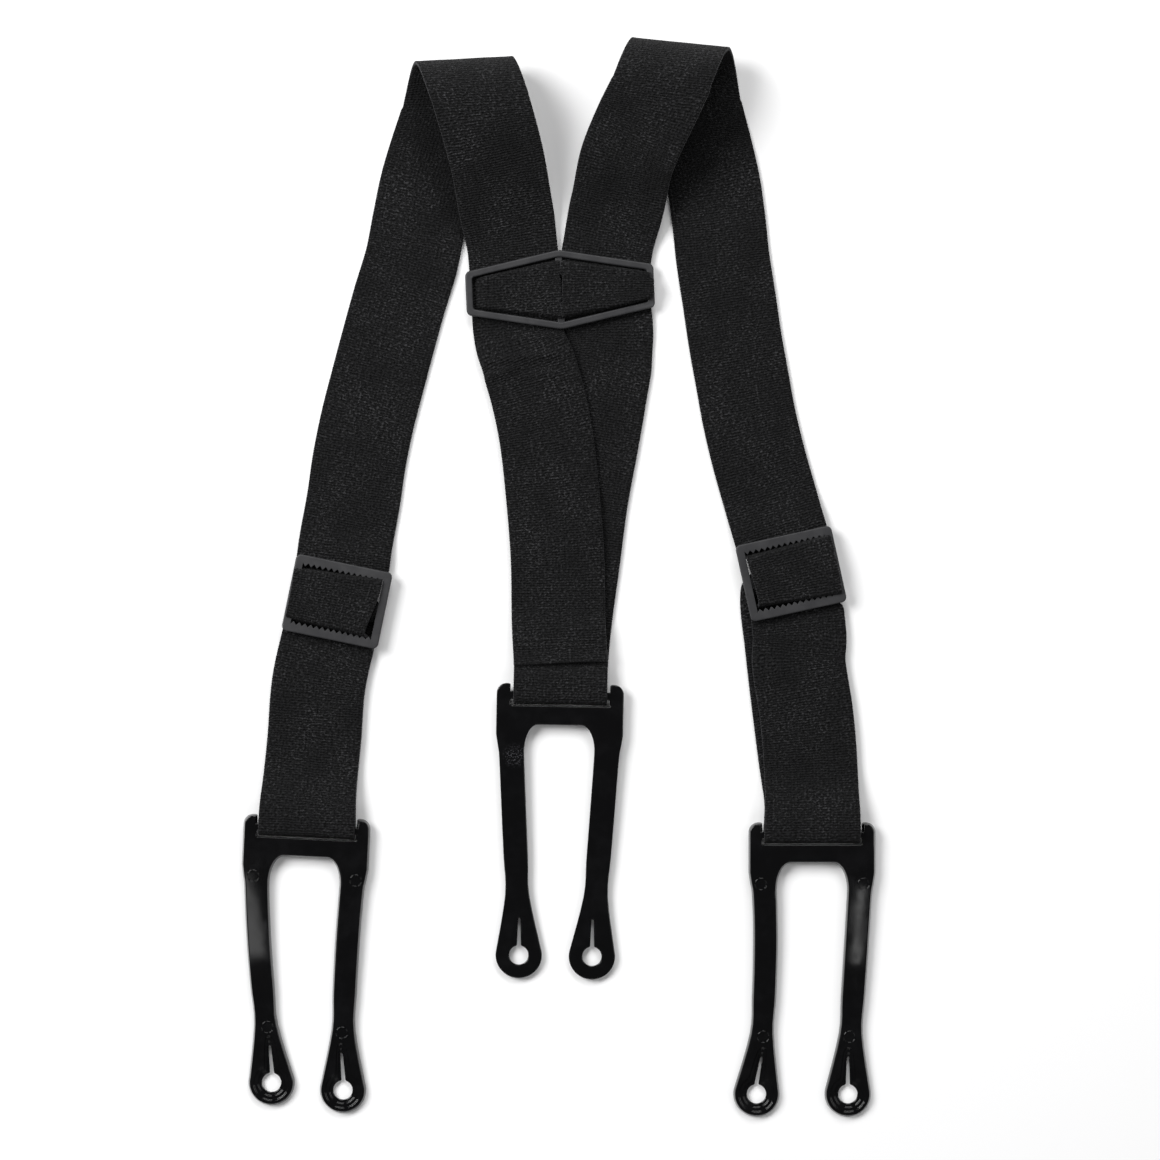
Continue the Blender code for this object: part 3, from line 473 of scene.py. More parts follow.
def rounded_box(half_width, low, high, radius, steps=ROUND_STEPS // 2):
    right, left = half_width - radius, -half_width + radius
    return (arc((right, high - radius), (radius, radius), 0, 90, steps)
            + arc((left, high - radius), (radius, radius), 90, 180, steps)
            + arc((left, low + radius), (radius, radius), 180, 270, steps)
            + arc((right, low + radius), (radius, radius), 270, 360, steps))


# ---- Button forks ----
def leg_share(distance):
    """How far along a leg a place is, from its root below the head to its eye."""
    return max(0.0, (distance - LEG_ROOT) / (FORK_LENGTH - LEG_ROOT))


def down(distance, draw=0.0):
    """Local Y of a place given as its distance below the head's top edge."""
    return FORK_BAR_DROP - distance + draw * leg_share(distance) ** 2


def leg_bend(distance, flex):
    """Sideways move of a leg that is bent by flex at its eye."""
    share = leg_share(distance)
    return flex * share * share * (3 - share) / 2


def smooth_line(points, steps):
    """A curve through 2-D points with a few points between each pair."""
    line = []
    last = len(points) - 1
    for k in range(last):
        a, b = points[max(0, k - 1)], points[k]
        c, d = points[k + 1], points[min(last, k + 2)]
        for j in range(steps):
            t = j / steps
            line.append(0.5 * (2 * b + (c - a) * t + (2 * a - 5 * b + 4 * c - d) * t * t
                               + (3 * b - a - 3 * c + d) * t * t * t))
    line.append(points[-1])
    return line


def fork_leg(flex, draw):
    """Outline of the right-hand leg from the head's outer corner to the crotch."""
    eye = EYE_SPACING / 2
    neck = FORK_LENGTH - 0.0245
    neck_out = eye + FORK_LEG_WIDTH * 0.61
    neck_in = eye - FORK_LEG_WIDTH * 0.39
    shoulder_in = neck_in + 0.0032
    corner = 0.0040
    points = arc((FORK_HALF_WIDTH - corner, down(corner)), (corner, corner), 90, 0, 8)
    outer = [(0.0205, FORK_HALF_WIDTH), (0.0250, FORK_HALF_WIDTH - 0.0007),
             (0.0290, FORK_HALF_WIDTH - 0.00135), (0.0420, FORK_HALF_WIDTH - 0.0022),
             (0.0570, FORK_HALF_WIDTH - 0.0031), (0.0710, neck_out + 0.0009),
             (neck, neck_out)]
    middle = eye + leg_bend(FORK_LENGTH, flex)
    lobe = arc((middle, down(FORK_LENGTH, draw)), (EYE_LOBE_RADIUS, EYE_LOBE_RADIUS), 12, -192, 44)
    outer_points = [Vector((u + leg_bend(v, flex), down(v, draw))) for v, u in outer]
    points += smooth_line(outer_points + [lobe[0]], 4)[:-1]
    points += lobe
    inner = [(neck, neck_in), (0.0710, neck_in + 0.0008), (0.0500, neck_in + 0.0020),
             (0.0340, shoulder_in - 0.0003)]
    crotch_top = FORK_SLOT_END + 0.0077
    depth, width = 0.0106, 0.0054
    crotch = arc((shoulder_in - width, down(crotch_top + depth)), (width, depth), 0, 90, 12)
    inner_points = [Vector((u + leg_bend(v, flex), down(v, draw))) for v, u in inner]
    points += smooth_line([lobe[-1]] + inner_points + [crotch[0]], 4)[1:-1]
    points += crotch
    return points


def eye_loop(side, flex, draw, radius, half_slit, reach, throat):
    """Clockwise keyhole or teardrop round one eye; all of them have the same point count."""
    middle = side * EYE_SPACING / 2 + leg_bend(FORK_LENGTH, flex)
    centre = down(FORK_LENGTH, draw)
    lean = leg_bend(FORK_LENGTH, flex) - leg_bend(FORK_LENGTH - reach, flex)
    points = arc((middle, centre), (radius, radius), 90 - throat, -270 + throat, 36)
    low = centre + radius * math.cos(math.radians(throat)) + 0.0004
    top = centre + reach
    tip = half_slit * 0.62
    rise = [(-half_slit, low), (-half_slit * 0.8, (low + top) / 2), (-tip, top - tip),
            (-tip * 0.7, top - tip * 0.3), (0.0, top), (tip * 0.7, top - tip * 0.3),
            (tip, top - tip), (half_slit * 0.8, (low + top) / 2), (half_slit, low)]
    for x, y in rise:
        share = (y - low) / (top - low)
        points.append(Vector((middle - lean * share + x, y)))
    return points


def fork_mesh(name, fork, material, recess_up):
    """A button fork whose stepped eye seats and pin marks are on its upper or lower face."""
    m = Moulding(FORK_THICKNESS, EDGE_ROUND)
    flexes = fork["flex"]
    draws = (fork["draw"], 0.0)
    right = fork_leg(flexes[1], draws[1])
    left = [Vector((-p.x, p.y)) for p in fork_leg(-flexes[0], draws[0])]
    notch = FORK_SLOT_WIDTH / 2
    head = [Vector((-notch - 0.0006, down(0))), Vector((-notch, down(0) - 0.0004)),
            Vector((-notch, FORK_BAR / 2)), Vector((notch, FORK_BAR / 2)),
            Vector((notch, down(0) - 0.0004)), Vector((notch + 0.0006, down(0)))]
    outline = list(reversed(left)) + head + right
    outline.reverse()
    slot = rounded_box(notch, down(FORK_SLOT_END), -FORK_BAR / 2, 0.0006, 4)
    slot.reverse()
    m.draft = FORK_DRAFT
    m.rounding = 0.0004
    m.outline(outline)
    m.draft = 0.0
    m.outline(slot)
    floor = m.half - sum(rise for _, _, rise in EYE_LIPS)
    # A spare ring on either side of a lip keeps the flats beside it flat to the eye.
    for side, flex, draw in ((-1, flexes[0], draws[0]), (1, flexes[1], draws[1])):
        keyhole = eye_loop(side, flex, draw, EYE_RADIUS, SLIT_WIDTH / 2, SLIT_LENGTH, 16)
        inner = m.wall(keyhole, floor)
        level = floor
        for start, end, rise in EYE_LIPS:
            for k in range(-1, 10):
                out = start + (end - start) * k / 8 - EYE_RADIUS
                turned_by = math.pi * min(8, max(0, k)) / 8
                ring = m.ring(eye_loop(side, flex, draw, EYE_RADIUS + out, SLIT_WIDTH / 2 + out * 0.7,
                                       SLIT_LENGTH + out * 1.2, 16 + out * 3000),
                              level + rise * (1 - math.cos(turned_by)) / 2)
                m.bridge(inner, ring)
                inner = ring
            level += rise
        m.caps[1].append(inner)
    groove = []
    for k in range(-2, 11):
        turned_by = 2 * math.pi * min(8, max(0, k)) / 8
        groove.append((PIN_RADIUS - PIN_GROOVE_WIDTH * k / 8,
                       -PIN_GROOVE_DEPTH * (1 - math.cos(turned_by)) / 2))
    for side, flex, draw in ((-1, flexes[0], draws[0]), (1, flexes[1], draws[1])):
        for distance, out in PIN_PLACES:
            centre = (side * out + leg_bend(distance, flex), down(distance, draw))
            ring = None
            for radius, height in groove:
                loop = arc(centre, (radius, radius), 360, 0, 24)[:-1]
                fresh = m.ring(loop, m.half + height)
                if ring is None:
                    m.caps[1].append(fresh)
                else:
                    m.bridge(ring, fresh)
                ring = fresh
            m.faces.append(tuple(ring))
    m.close(1)
    m.close(-1)
    sign = 1.0 if recess_up else -1.0
    across, below = heading(fork["turn"])
    middle = bar_middle(fork)
    sin, cos = math.sin(FORK_PITCH), math.cos(FORK_PITCH)
    placed = []
    for x, y, z in m.vertices:
        z *= sign
        point = (Vector((*middle, LOOP_HEIGHT)) + across * x - below * (y * cos - z * sin)
                 + Vector((0.0, 0.0, y * sin + z * cos)))
        placed.append(point)
    return new_piece(name, placed, m.faces, material, sharp=SHARP_ANGLE)


def bar_middle(fork):
    middle = Vector((*fork["top"], 0.0)) + heading(fork["turn"])[1] * FORK_BAR_DROP
    return (middle.x, middle.y)


# ---- Adjusters and back plate ----
def placed_moulding(name, m, at, base, turn, material, bars):
    """Finishes a moulding, welds its centre bar and puts it in place."""
    m.close(1)
    m.close(-1)
    across, below = heading(turn)

    def world(x, y, z):
        return Vector((*at, base)) + across * x - below * y + Vector((0.0, 0.0, z))
    piece = new_piece(name, [world(x, y, z + m.half) for x, y, z in m.vertices], m.faces, material)
    for (x0, y0, z0), (x1, y1, z1) in bars:
        b = Moulding(z1 - z0, 0.0003)
        corners = [Vector((x1, y0)), Vector((x1, y1)), Vector((x0, y1)), Vector((x0, y0))]
        b.outline(corners)
        b.close(1)
        b.close(-1)
        bar = new_piece(name + "_bar", [world(x, y, z + (z0 + z1) / 2) for x, y, z in b.vertices],
                        b.faces, material)
        weld = piece.modifiers.new("weld", "BOOLEAN")
        weld.operation = "UNION"
        weld.object = bar
        bpy.context.view_layer.update()
        graph = bpy.context.evaluated_depsgraph_get()
        joined = bpy.data.meshes.new_from_object(piece.evaluated_get(graph))
        piece.modifiers.clear()
        piece.data = joined
        bpy.data.objects.remove(bar)
    piece.data.shade_smooth()
    piece.data.set_sharp_from_angle(angle=math.radians(SHARP_ANGLE))
    return piece


def toothed_window():
    half = ADJUSTER_WINDOW / 2
    edge = ADJUSTER_HEIGHT / 2 - ADJUSTER_BAR
    pitch = ADJUSTER_WINDOW / TOOTH_COUNT
    upper = []
    for k in range(TOOTH_COUNT):
        upper += [Vector((half - pitch * (k + 0.04), edge)),
                  Vector((half - pitch * (k + 0.44), edge - TOOTH_HEIGHT)),
                  Vector((half - pitch * (k + 0.56), edge - TOOTH_HEIGHT)),
                  Vector((half - pitch * (k + 0.96), edge))]
    return upper + [Vector((-p.x, -p.y)) for p in upper]


def adjuster_piece(name, at, turn, material):
    m = Moulding(ADJUSTER_THICKNESS, EDGE_ROUND)
    m.outline(rounded_box(ADJUSTER_WIDTH / 2, -ADJUSTER_HEIGHT / 2, ADJUSTER_HEIGHT / 2,
                          CORNER_RADIUS))
    window = toothed_window()
    window.reverse()
    m.rounding = 0.0002
    m.outline(window)
    half = ADJUSTER_WINDOW / 2 + ADJUSTER_SIDE_BAR / 2
    bar = ((-half, -CENTRE_BAR_WIDTH / 2, ADJUSTER_BAR_BASE - ADJUSTER_BASE),
           (half, CENTRE_BAR_WIDTH / 2, CENTRE_BAR_BITE))
    return placed_moulding(name, m, at, ADJUSTER_BASE, turn, material, [bar])


def six_sided(half_width, mid_height, end_height, corner):
    """Six-sided outline with rounded corners, anticlockwise."""
    outline = [Vector((half_width, -end_height / 2)), Vector((half_width, end_height / 2)),
               Vector((0.0, mid_height / 2)), Vector((-half_width, end_height / 2)),
               Vector((-half_width, -end_height / 2)), Vector((0.0, -mid_height / 2))]
    points = []
    for before, here, after in zip(outline[-1:] + outline[:-1], outline,
                                   outline[1:] + outline[:1]):
        first = here + (before - here).normalized() * corner
        second = here + (after - here).normalized() * corner
        for k in range(7):
            t = k / 6
            points.append(first * (1 - t) ** 2 + here * (2 * t * (1 - t)) + second * t * t)
    return points


def plate_piece(material):
    m = Moulding(PLATE_THICKNESS, 0.0006)
    m.outline(six_sided(PLATE_HALF_WIDTH, PLATE_MID_HEIGHT, PLATE_END_HEIGHT, CORNER_RADIUS))
    drop = 2 * PLATE_BAR / math.cos(PLATE_SLOPE)
    inner_end = PLATE_END_HEIGHT + 2 * PLATE_BAR * math.tan(PLATE_SLOPE) - drop
    window = six_sided(PLATE_HALF_WIDTH - PLATE_BAR, PLATE_MID_HEIGHT - drop, inner_end, 0.0010)
    window.reverse()
    m.outline(window)
    reach = PLATE_MID_HEIGHT / 2 - PLATE_BAR / 2
    bar = ((-PLATE_BAR / 2, -reach, PLATE_THICKNESS * 0.1),
           (PLATE_BAR / 2, reach, PLATE_THICKNESS * 0.6))
    return placed_moulding("back_plate_moulding", m, PLATE, PLATE_BASE, PLATE_TURN, material, [bar])


# ---- Straps ----
def along(route, y):
    """X of a route at a given Y: a smooth curve through its (x, y) points, listed downwards."""
    last = len(route) - 1
    for k in range(last):
        if y >= route[k + 1][1] or k == last - 1:
            break
    (xa, ya), (xb, yb) = route[k], route[k + 1]
    before, after = route[max(0, k - 1)], route[min(last, k + 2)]
    slope_a = (xb - before[0]) / (yb - before[1])
    slope_b = (after[0] - xa) / (after[1] - ya)
    share = (y - ya) / (yb - ya)
    span = yb - ya
    return ((2 * share**3 - 3 * share**2 + 1) * xa + (share**3 - 2 * share**2 + share) * span * slope_a
            + (3 * share**2 - 2 * share**3) * xb + (share**3 - share**2) * span * slope_b)


def lying(route, high, low, height_at, width_at, shift_at=None, tilt_at=None):
    """Dense stations along a route between two world Y values, from high to low."""
    count = max(2, math.ceil((high - low) / FINE_STEP))
    stations = []
    for k in range(count + 1):
        y = high + (low - high) * k / count
        nudge = 0.0008
        slope = (along(route, y + nudge) - along(route, y - nudge)) / (2 * nudge)
        across = Vector((1.0, -slope, 0.0)).normalized()
        x = along(route, y)
        middle = Vector((x, y, height_at(x, y)))
        if shift_at:
            middle += across * shift_at(x, y)
        if tilt_at:
            across = (across + Vector((0.0, 0.0, tilt_at(x, y)))).normalized()
        stations.append([middle, across, width_at(x, y)])
    return stations


def beside(at, turn, knots):
    """A function of world x and y that eases between knots placed down from a piece."""
    _, below = heading(turn)

    def value(x, y):
        return eased(knots, (x - at[0]) * below.x + (y - at[1]) * below.y)
    return value


def fold_stations(fold):
    """The shoulder fold from its lying side to its upper side, its start, end and fold line."""
    turn, slant, reach, rise = fold["turn"], fold["slant"], fold["reach"], fold["rise"]
    line = Vector((math.cos(turn), math.sin(turn), 0.0))
    outwards = Vector((-math.sin(turn), math.cos(turn), 0.0))
    steps = 96
    lengths = [0.0]
    for k in range(steps):
        middle = math.pi * (k + 0.5) / steps
        lengths.append(lengths[-1] + math.hypot(reach * math.cos(middle), rise * math.sin(middle))
                       * math.pi / steps)
    start = (Vector((*fold["crest"], HALF_WEB)) - outwards * reach
             - line * (lengths[steps // 2] * math.tan(slant)))
    stations = []
    for k in range(steps + 1):
        angle = math.pi * k / steps
        middle = (start + outwards * (reach * math.sin(angle))
                  + Vector((0.0, 0.0, rise * (1 - math.cos(angle))))
                  + line * (lengths[k] * math.tan(slant)))
        stations.append([middle, line.copy(), WEB_WIDTH / math.cos(slant)])
    return stations, line


def off_fold(fold):
    """Route points ahead of a fold's last station and on it, so that there is no kink."""
    inner, end = fold[-10][0], fold[-1][0]
    step = inner - end
    ahead = inner + step * (0.012 / max(1e-6, abs(step.y)))
    return [(ahead.x, ahead.y), (end.x, end.y)]


def squared_off(stations, line, reach):
    """Turns the first stations from the fold line to square with the strap."""
    done = 0.0
    previous = stations[0][0]
    turned_stations = []
    for middle, across, width in stations:
        done += (middle - previous).length
        previous = middle
        share = eased([(0.0, 0.0), (reach, 1.0)], done)
        mixed = line.lerp(across, share).normalized()
        turned_stations.append([middle, mixed, width / max(0.5, mixed.dot(across))])
    return turned_stations


def turned(at, turn, profile, width):
    """Stations for a profile of (distance down, height) points square to a turned piece."""
    across, below = heading(turn)
    return [[Vector((*at, 0.0)) + below * v + Vector((0.0, 0.0, z)), across.copy(), width]
            for v, z in profile]


def above_bar(fork):
    bar = bar_middle(fork)
    above = Vector((*bar, 0.0)) - heading(fork["turn"])[1] * 0.012
    return [(above.x, above.y), bar]


class Strap:
    """A strap's stations from its rear end to its sewn front end, with named places on it."""

    def __init__(self):
        self.stations = []
        self.marks = {}
        self.lifts = []

    def raised(self, point, height):
        """How far a point of a low-lying length is lifted by what it passes over."""
        return sum(lift(point) for lift in self.lifts) if height < 0.012 else 0.0

    def extend(self, stations):
        if self.stations and stations:
            if (stations[0][0] - self.stations[-1][0]).length < 0.00015:
                stations = stations[1:]
        self.stations += stations

    def mark(self, name):
        self.marks[name] = len(self.stations) - 1

    def measure(self):
        self.lengths = [0.0]
        for before, here in zip(self.stations, self.stations[1:]):
            self.lengths.append(self.lengths[-1] + (here[0] - before[0]).length)

    def at(self, length):
        """The station at a distance along the strap."""
        low, high = 0, len(self.lengths) - 1
        while high - low > 1:
            middle = (low + high) // 2
            if self.lengths[middle] <= length:
                low = middle
            else:
                high = middle
        span = self.lengths[high] - self.lengths[low]
        share = 0.0 if span == 0 else (length - self.lengths[low]) / span
        a, b = self.stations[low], self.stations[high]
        return (a[0].lerp(b[0], share), a[1].lerp(b[1], share).normalized(),
                a[2] + (b[2] - a[2]) * share)


def web_profile(steps):
    """Outline of the webbing's cut end, as (across share, height share, painted highlight) points."""
    top = []
    for k in range(steps + 1):
        x = -1 + 2 * k / steps
        x = math.copysign(abs(x) ** 0.85, x)
        bead = 1.0 + 0.10 * max(0.0, (abs(x) - 0.93) / 0.07)
        top.append((x * 0.985, bead, 0.0))
    # The third value of the side-edge points is a painted highlight share: these faces are coloured
    # lighter as if catching the light.
    edge = [(0.994, 0.75, 0.7), (1.0, 0.30, 1.0), (1.0, -0.30, 1.0), (0.994, -0.75, 0.7)]
    bottom = [(x, -h, t) for x, h, t in reversed(top)]
    other = [(-x, -h, t) for x, h, t in edge]
    return top + edge + bottom + other


def strap_piece(name, strap, first, last, material, step=STATION_STEP, across_steps=ACROSS_STEPS):
    """One length of a strap between two marks, as a closed ribbon with woven-fabric coordinates."""
    start, end = strap.lengths[strap.marks[first]], strap.lengths[strap.marks[last]]
    count = max(2, round((end - start) / step))
    profile = web_profile(across_steps)
    vertices = []
    lie = []
    spread = 0.0004
    for k in range(count + 1):
        length = start + (end - start) * k / count
        middle, across, width = strap.at(length)
        before = strap.at(max(0.0, length - spread))[0]
        after = strap.at(min(strap.lengths[-1], length + spread))[0]
        face_out = (after - before).cross(across).normalized() * strap.facing
        for x, h, edge_highlight_share in profile:
            ripple = (noise.noise(Vector((x * 2.0, length * 45.0, strap.seed))) + 0.6) * 0.00012
            point = middle + across * (x * width / 2) + face_out * (h * HALF_WEB + ripple)
            vertices.append(point + Vector((0.0, 0.0, strap.raised(point, middle.z))))
            # The third value carries the painted edge highlight share to the material.
            lie.append((x * WEB_WIDTH / 2, length + strap.seed, edge_highlight_share))
    ring = len(profile)
    faces = [tuple(range(ring)), tuple(range(count * ring, (count + 1) * ring))[::-1]]
    for k in range(count):
        for j in range(ring):
            i = (j + 1) % ring
            faces.append((k * ring + j, k * ring + i, (k + 1) * ring + i, (k + 1) * ring + j))
    piece = new_piece(name, vertices, faces, material, sharp=60)
    attribute = piece.data.attributes.new("lie", "FLOAT_VECTOR", "POINT")
    attribute.data.foreach_set("vector", [value for row in lie for value in row])
    return piece


def rear_tail_height(distance):
    """Height of the right strap's sewn end at a distance above the rear fork's bar."""
    return eased([(0.005, LOOP_HEIGHT + LOOP_RADIUS), (0.019, LAYER + HALF_WEB + GAP)], distance)


def plate_lane(sign):
    """The middle of the back plate's window on one side."""
    across, _ = heading(PLATE_TURN)
    return (PLATE[0] + sign * PLATE_LANE * across.x, PLATE[1] + sign * PLATE_LANE * across.y)


def window_lift(crown, sign):
    """How the webbing bulges up through its window of the back plate, over the centre bar."""
    across, below = heading(PLATE_TURN)
    middle_edge = PLATE_MID_HEIGHT / 2 - PLATE_BAR / math.cos(PLATE_SLOPE)

    def lift(point):
        away = point - Vector((*PLATE, point.z))
        u, v = away.dot(across), away.dot(below)
        if abs(u) > 0.045 or abs(v) > 0.016:
            return 0.0
        room = (middle_edge - math.tan(PLATE_SLOPE) * abs(u) - abs(v)) * math.cos(PLATE_SLOPE)
        reach = eased([(0.0, 0.0026), (0.030, 0.0013)], sign * u)
        rise = eased([(0.0002, 0.0), (reach, 1.0)], room)
        if sign < 0:
            rise *= eased([(-0.0354, 0.0), (-0.0300, 1.0)], u)
        belly = 1.0 + 0.06 * math.cos(u * 160.0) * math.cos(v * 120.0)
        return crown * rise * belly
    return lift


def wrinkle_lift(point):
    """How far the creases lift a point of the left strap."""
    lift = 0.0
    for middle, turn, reach, spread, height in WRINKLES:
        away = Vector((point.x - middle[0], point.y - middle[1]))
        run = Vector((math.cos(math.radians(turn)), math.sin(math.radians(turn))))
        side = away.dot(Vector((-run.y, run.x)))
        lift += height * math.exp(-(side / spread) ** 2 - (away.dot(run) / reach) ** 2)
    return lift


def back_run(strap, sign, fold_end, back_route, rear_route, low_height, rear_knots, rear_end,
             window_shift, window_width, spill, crown, line, start):
    """Stations from the rear end up through the back plate to the end of the fold."""
    lane = plate_lane(sign)
    above = (sign * (PLATE_LANE + 0.0008), PLATE[1] + PLATE_MID_HEIGHT / 2)
    route = start + back_route + [above, lane] + rear_route
    end_gap = (PLATE_END_HEIGHT / 2 - PLATE_BAR / math.cos(PLATE_SLOPE)) - GAP * 3
    outside = PLATE_MID_HEIGHT / 2 + GAP
    knots = [(place - PLATE[1] + lane[1], value) for place, value in rear_knots]
    fold_start = lane[1] - fold_end.y
    height = beside(lane, 0.0, [
        (fold_start, fold_end.z), (-outside, PLATE_WEB_HEIGHT), (end_gap, PLATE_WEB_HEIGHT),
        (outside, low_height)] + knots)
    under = UNDER_PLATE_WIDTH
    width = beside(lane, 0.0, [
        (-outside - 0.016, WEB_WIDTH), (-outside, under), (-end_gap, under),
        (-end_gap * 0.92, window_width - spill), (-end_gap * 0.75, window_width),
        (end_gap * 0.75, window_width), (end_gap * 0.92, window_width - spill),
        (end_gap, under), (outside + 0.006, under), (outside + 0.016, WEB_WIDTH),
        (lane[1] - rear_end - 0.020, WEB_WIDTH), (lane[1] - rear_end, WEB_WIDTH)])
    shift = beside(lane, 0.0, [
        (-outside, 0.0), (-end_gap * 0.92, window_shift - spill / 2),
        (-end_gap * 0.75, window_shift), (end_gap * 0.75, window_shift),
        (end_gap * 0.92, window_shift - spill / 2), (outside, 0.0)])
    strap.lifts.append(window_lift(crown, sign))
    run = lying(route, fold_end.y, rear_end, height, width, shift)
    run = squared_off(run, line, SQUARING_REACH)
    run.reverse()
    for y, mark in ((lane[1] - outside + 0.0025, "below_plate"),
                    (lane[1] + outside - 0.0025, "above_plate"), (fold_end.y, None)):
        part = [s for s in run if s[0].y <= y]
        run = run[len(part):]
        strap.extend(part)
        if mark:
            strap.mark(mark)
    strap.extend(run)


def front_run(strap, start, line, route, adjuster, fork, upper, lower, return_route):
    """Stations from the fold's lying side through the adjuster, round the fork and back."""
    at, turn = adjuster
    _, below = heading(turn)
    fork_at = bar_middle(fork)
    over_bar = ADJUSTER_BAR_TOP + GAP + LAYER + HALF_WEB
    under_frame = LAYER + HALF_WEB
    inner = ADJUSTER_HEIGHT / 2 - ADJUSTER_BAR - TOOTH_HEIGHT
    outer = ADJUSTER_HEIGHT / 2
    drop = (Vector(fork_at) - Vector(at)).length - 0.004
    narrow = ADJUSTER_WINDOW - 0.0008
    height = beside(at, turn, [
        (-outer - 0.018, HALF_WEB), (-outer, under_frame), (-inner - 0.0004, under_frame),
        (-inner + 0.0014, over_bar), (0.0, over_bar + 0.0005), (inner - 0.0014, over_bar),
        (inner + 0.0004, under_frame), (outer, under_frame), (drop - 0.025, under_frame),
        (drop, LOOP_HEIGHT + LOOP_RADIUS)])
    width = beside(at, turn, [
        (-outer + 0.0014, WEB_WIDTH), (-inner, narrow), (-inner + 0.0010, upper[1] - upper[0]),
        (inner - 0.0010, lower[1] - lower[0]), (inner, narrow), (outer + 0.001, WEB_WIDTH),
        (drop - 0.016, WEB_WIDTH), (drop, LOOP_WIDTH)])
    slide = beside(at, turn, [
        (-outer, 0.0), (-inner, 0.0), (-inner + 0.0010, (upper[0] + upper[1]) / 2),
        (inner - 0.0010, (lower[0] + lower[1]) / 2), (inner, 0.0), (outer, 0.0)])
    end_y = fork_at[1] - heading(fork["turn"])[1].y * LOOP_LEAD
    run = lying(route, start.y, end_y, height, width, slide)
    run = squared_off(run, line, SQUARING_REACH)
    limits = [(at[1] - below.y * (outer - 0.0022), "above_adjuster"),
              (at[1] + below.y * (outer - 0.0022), "below_adjuster"), (end_y, "loop_front")]
    for y, mark in limits:
        part = [s for s in run if s[0].y >= y - 1e-6]
        run = run[len(part):]
        strap.extend(part)
        strap.mark(mark)
    low = LOOP_HEIGHT - LOOP_RADIUS
    bend = arc((0.0, LOOP_HEIGHT), (LOOP_RADIUS, LOOP_RADIUS), 90, -90, 24)
    profile = [(p.x, p.y) for p in bend] + [(-LOOP_LEAD, low)]
    strap.extend(turned(fork_at, fork["turn"], profile, LOOP_WIDTH))
    strap.mark("loop_back")
    under_width = beside(at, turn, [
        (CENTRE_BAR_WIDTH, ADJUSTER_WINDOW - 0.0004), (CENTRE_BAR_WIDTH + 0.004, WEB_WIDTH),
        (drop - 0.016, WEB_WIDTH), (drop, LOOP_WIDTH)])
    return_run(strap, adjuster, return_route, end_y, under_width)


def return_run(strap, adjuster, route, end_y, width):
    """Stations of the strap's end: up behind the front layer and round the centre bar."""
    at, turn = adjuster
    bar_gap = CENTRE_BAR_WIDTH / 2 + GAP + HALF_WEB
    low = ADJUSTER_BAR_BASE - GAP - HALF_WEB
    high = ADJUSTER_BAR_TOP + GAP + HALF_WEB
    middle = (low + high) / 2
    rest = low + LAYER
    edge = CENTRE_BAR_WIDTH / 2
    wrap = [(edge, low)]
    wrap += [(-p.x, p.y) for p in arc((edge - 0.0004, middle), (bar_gap - edge + 0.0004,
                                                                (high - low) / 2), -90, 90, 24)]
    wrap += [(edge + 0.0002, high), (edge + 0.0016, (high + rest) / 2 + 0.0001),
             (edge + 0.0026, rest + 0.0002), (TAIL_LENGTH, rest)]
    _, below = heading(turn)
    start_y = at[1] + below.y * (CENTRE_BAR_WIDTH / 2 + 0.003)
    height = beside(at, turn, [(0.0, low), (ADJUSTER_HEIGHT / 2, HALF_WEB)])
    run = lying(route, start_y, end_y, height, width)
    run.reverse()
    strap.extend(run)
    strap.extend(turned(at, turn, wrap, ADJUSTER_WINDOW - 0.0004))
    strap.mark("tail")


def rear_knots_left(rear_bar):
    second = LAYER + HALF_WEB + GAP
    tail_top = PLATE[1] - (rear_bar[1] + REAR_TAIL + 0.004)
    knots = [(PLATE_MID_HEIGHT / 2 + 0.005, second), (tail_top - 0.014, second)]
    for k in range(8):
        rise = (REAR_TAIL + 0.004) * (1 - k / 7) + (REAR_SEAM - rear_bar[1]) * k / 7
        knots.append((PLATE[1] - rear_bar[1] - rise, rear_tail_height(rise) + LAYER + GAP * 2))
    return knots


def over_fold(strap, fold, line, front_route, adjuster, drop_route, return_route, fork, edges):
    """Carries a strap over its shoulder fold and down its front to its sewn end."""
    fold.reverse()
    strap.extend(fold)
    strap.mark("shoulder")
    below = above_bar(fork)
    front_run(strap, fold[-1][0], line,
              off_fold(fold) + front_route + [adjuster[0]] + drop_route + below, adjuster, fork,
              *edges, [adjuster[0]] + return_route + below)
    strap.measure()
    return strap


def left_strap():
    strap = Strap()
    strap.facing, strap.seed = -1.0, 0.0
    strap.lifts.append(wrinkle_lift)
    fold, line = fold_stations(LEFT_FOLD)
    rear_bar = bar_middle(REAR_FORK)
    back_run(strap, -1, fold[-1][0], LEFT_BACK_ROUTE, LEFT_REAR_ROUTE, PLATE_WEB_HEIGHT,
             rear_knots_left(rear_bar), REAR_SEAM, 0.0003, 0.0374, 0.0, 0.0042, line,
             off_fold(fold))
    strap.marks["rear"] = 0
    return over_fold(strap, fold, line, LEFT_FRONT_ROUTE, LEFT_ADJUSTER, LEFT_DROP_ROUTE,
                     LEFT_DROP_ROUTE, LEFT_FORK, LEFT_WINDOW_EDGES)


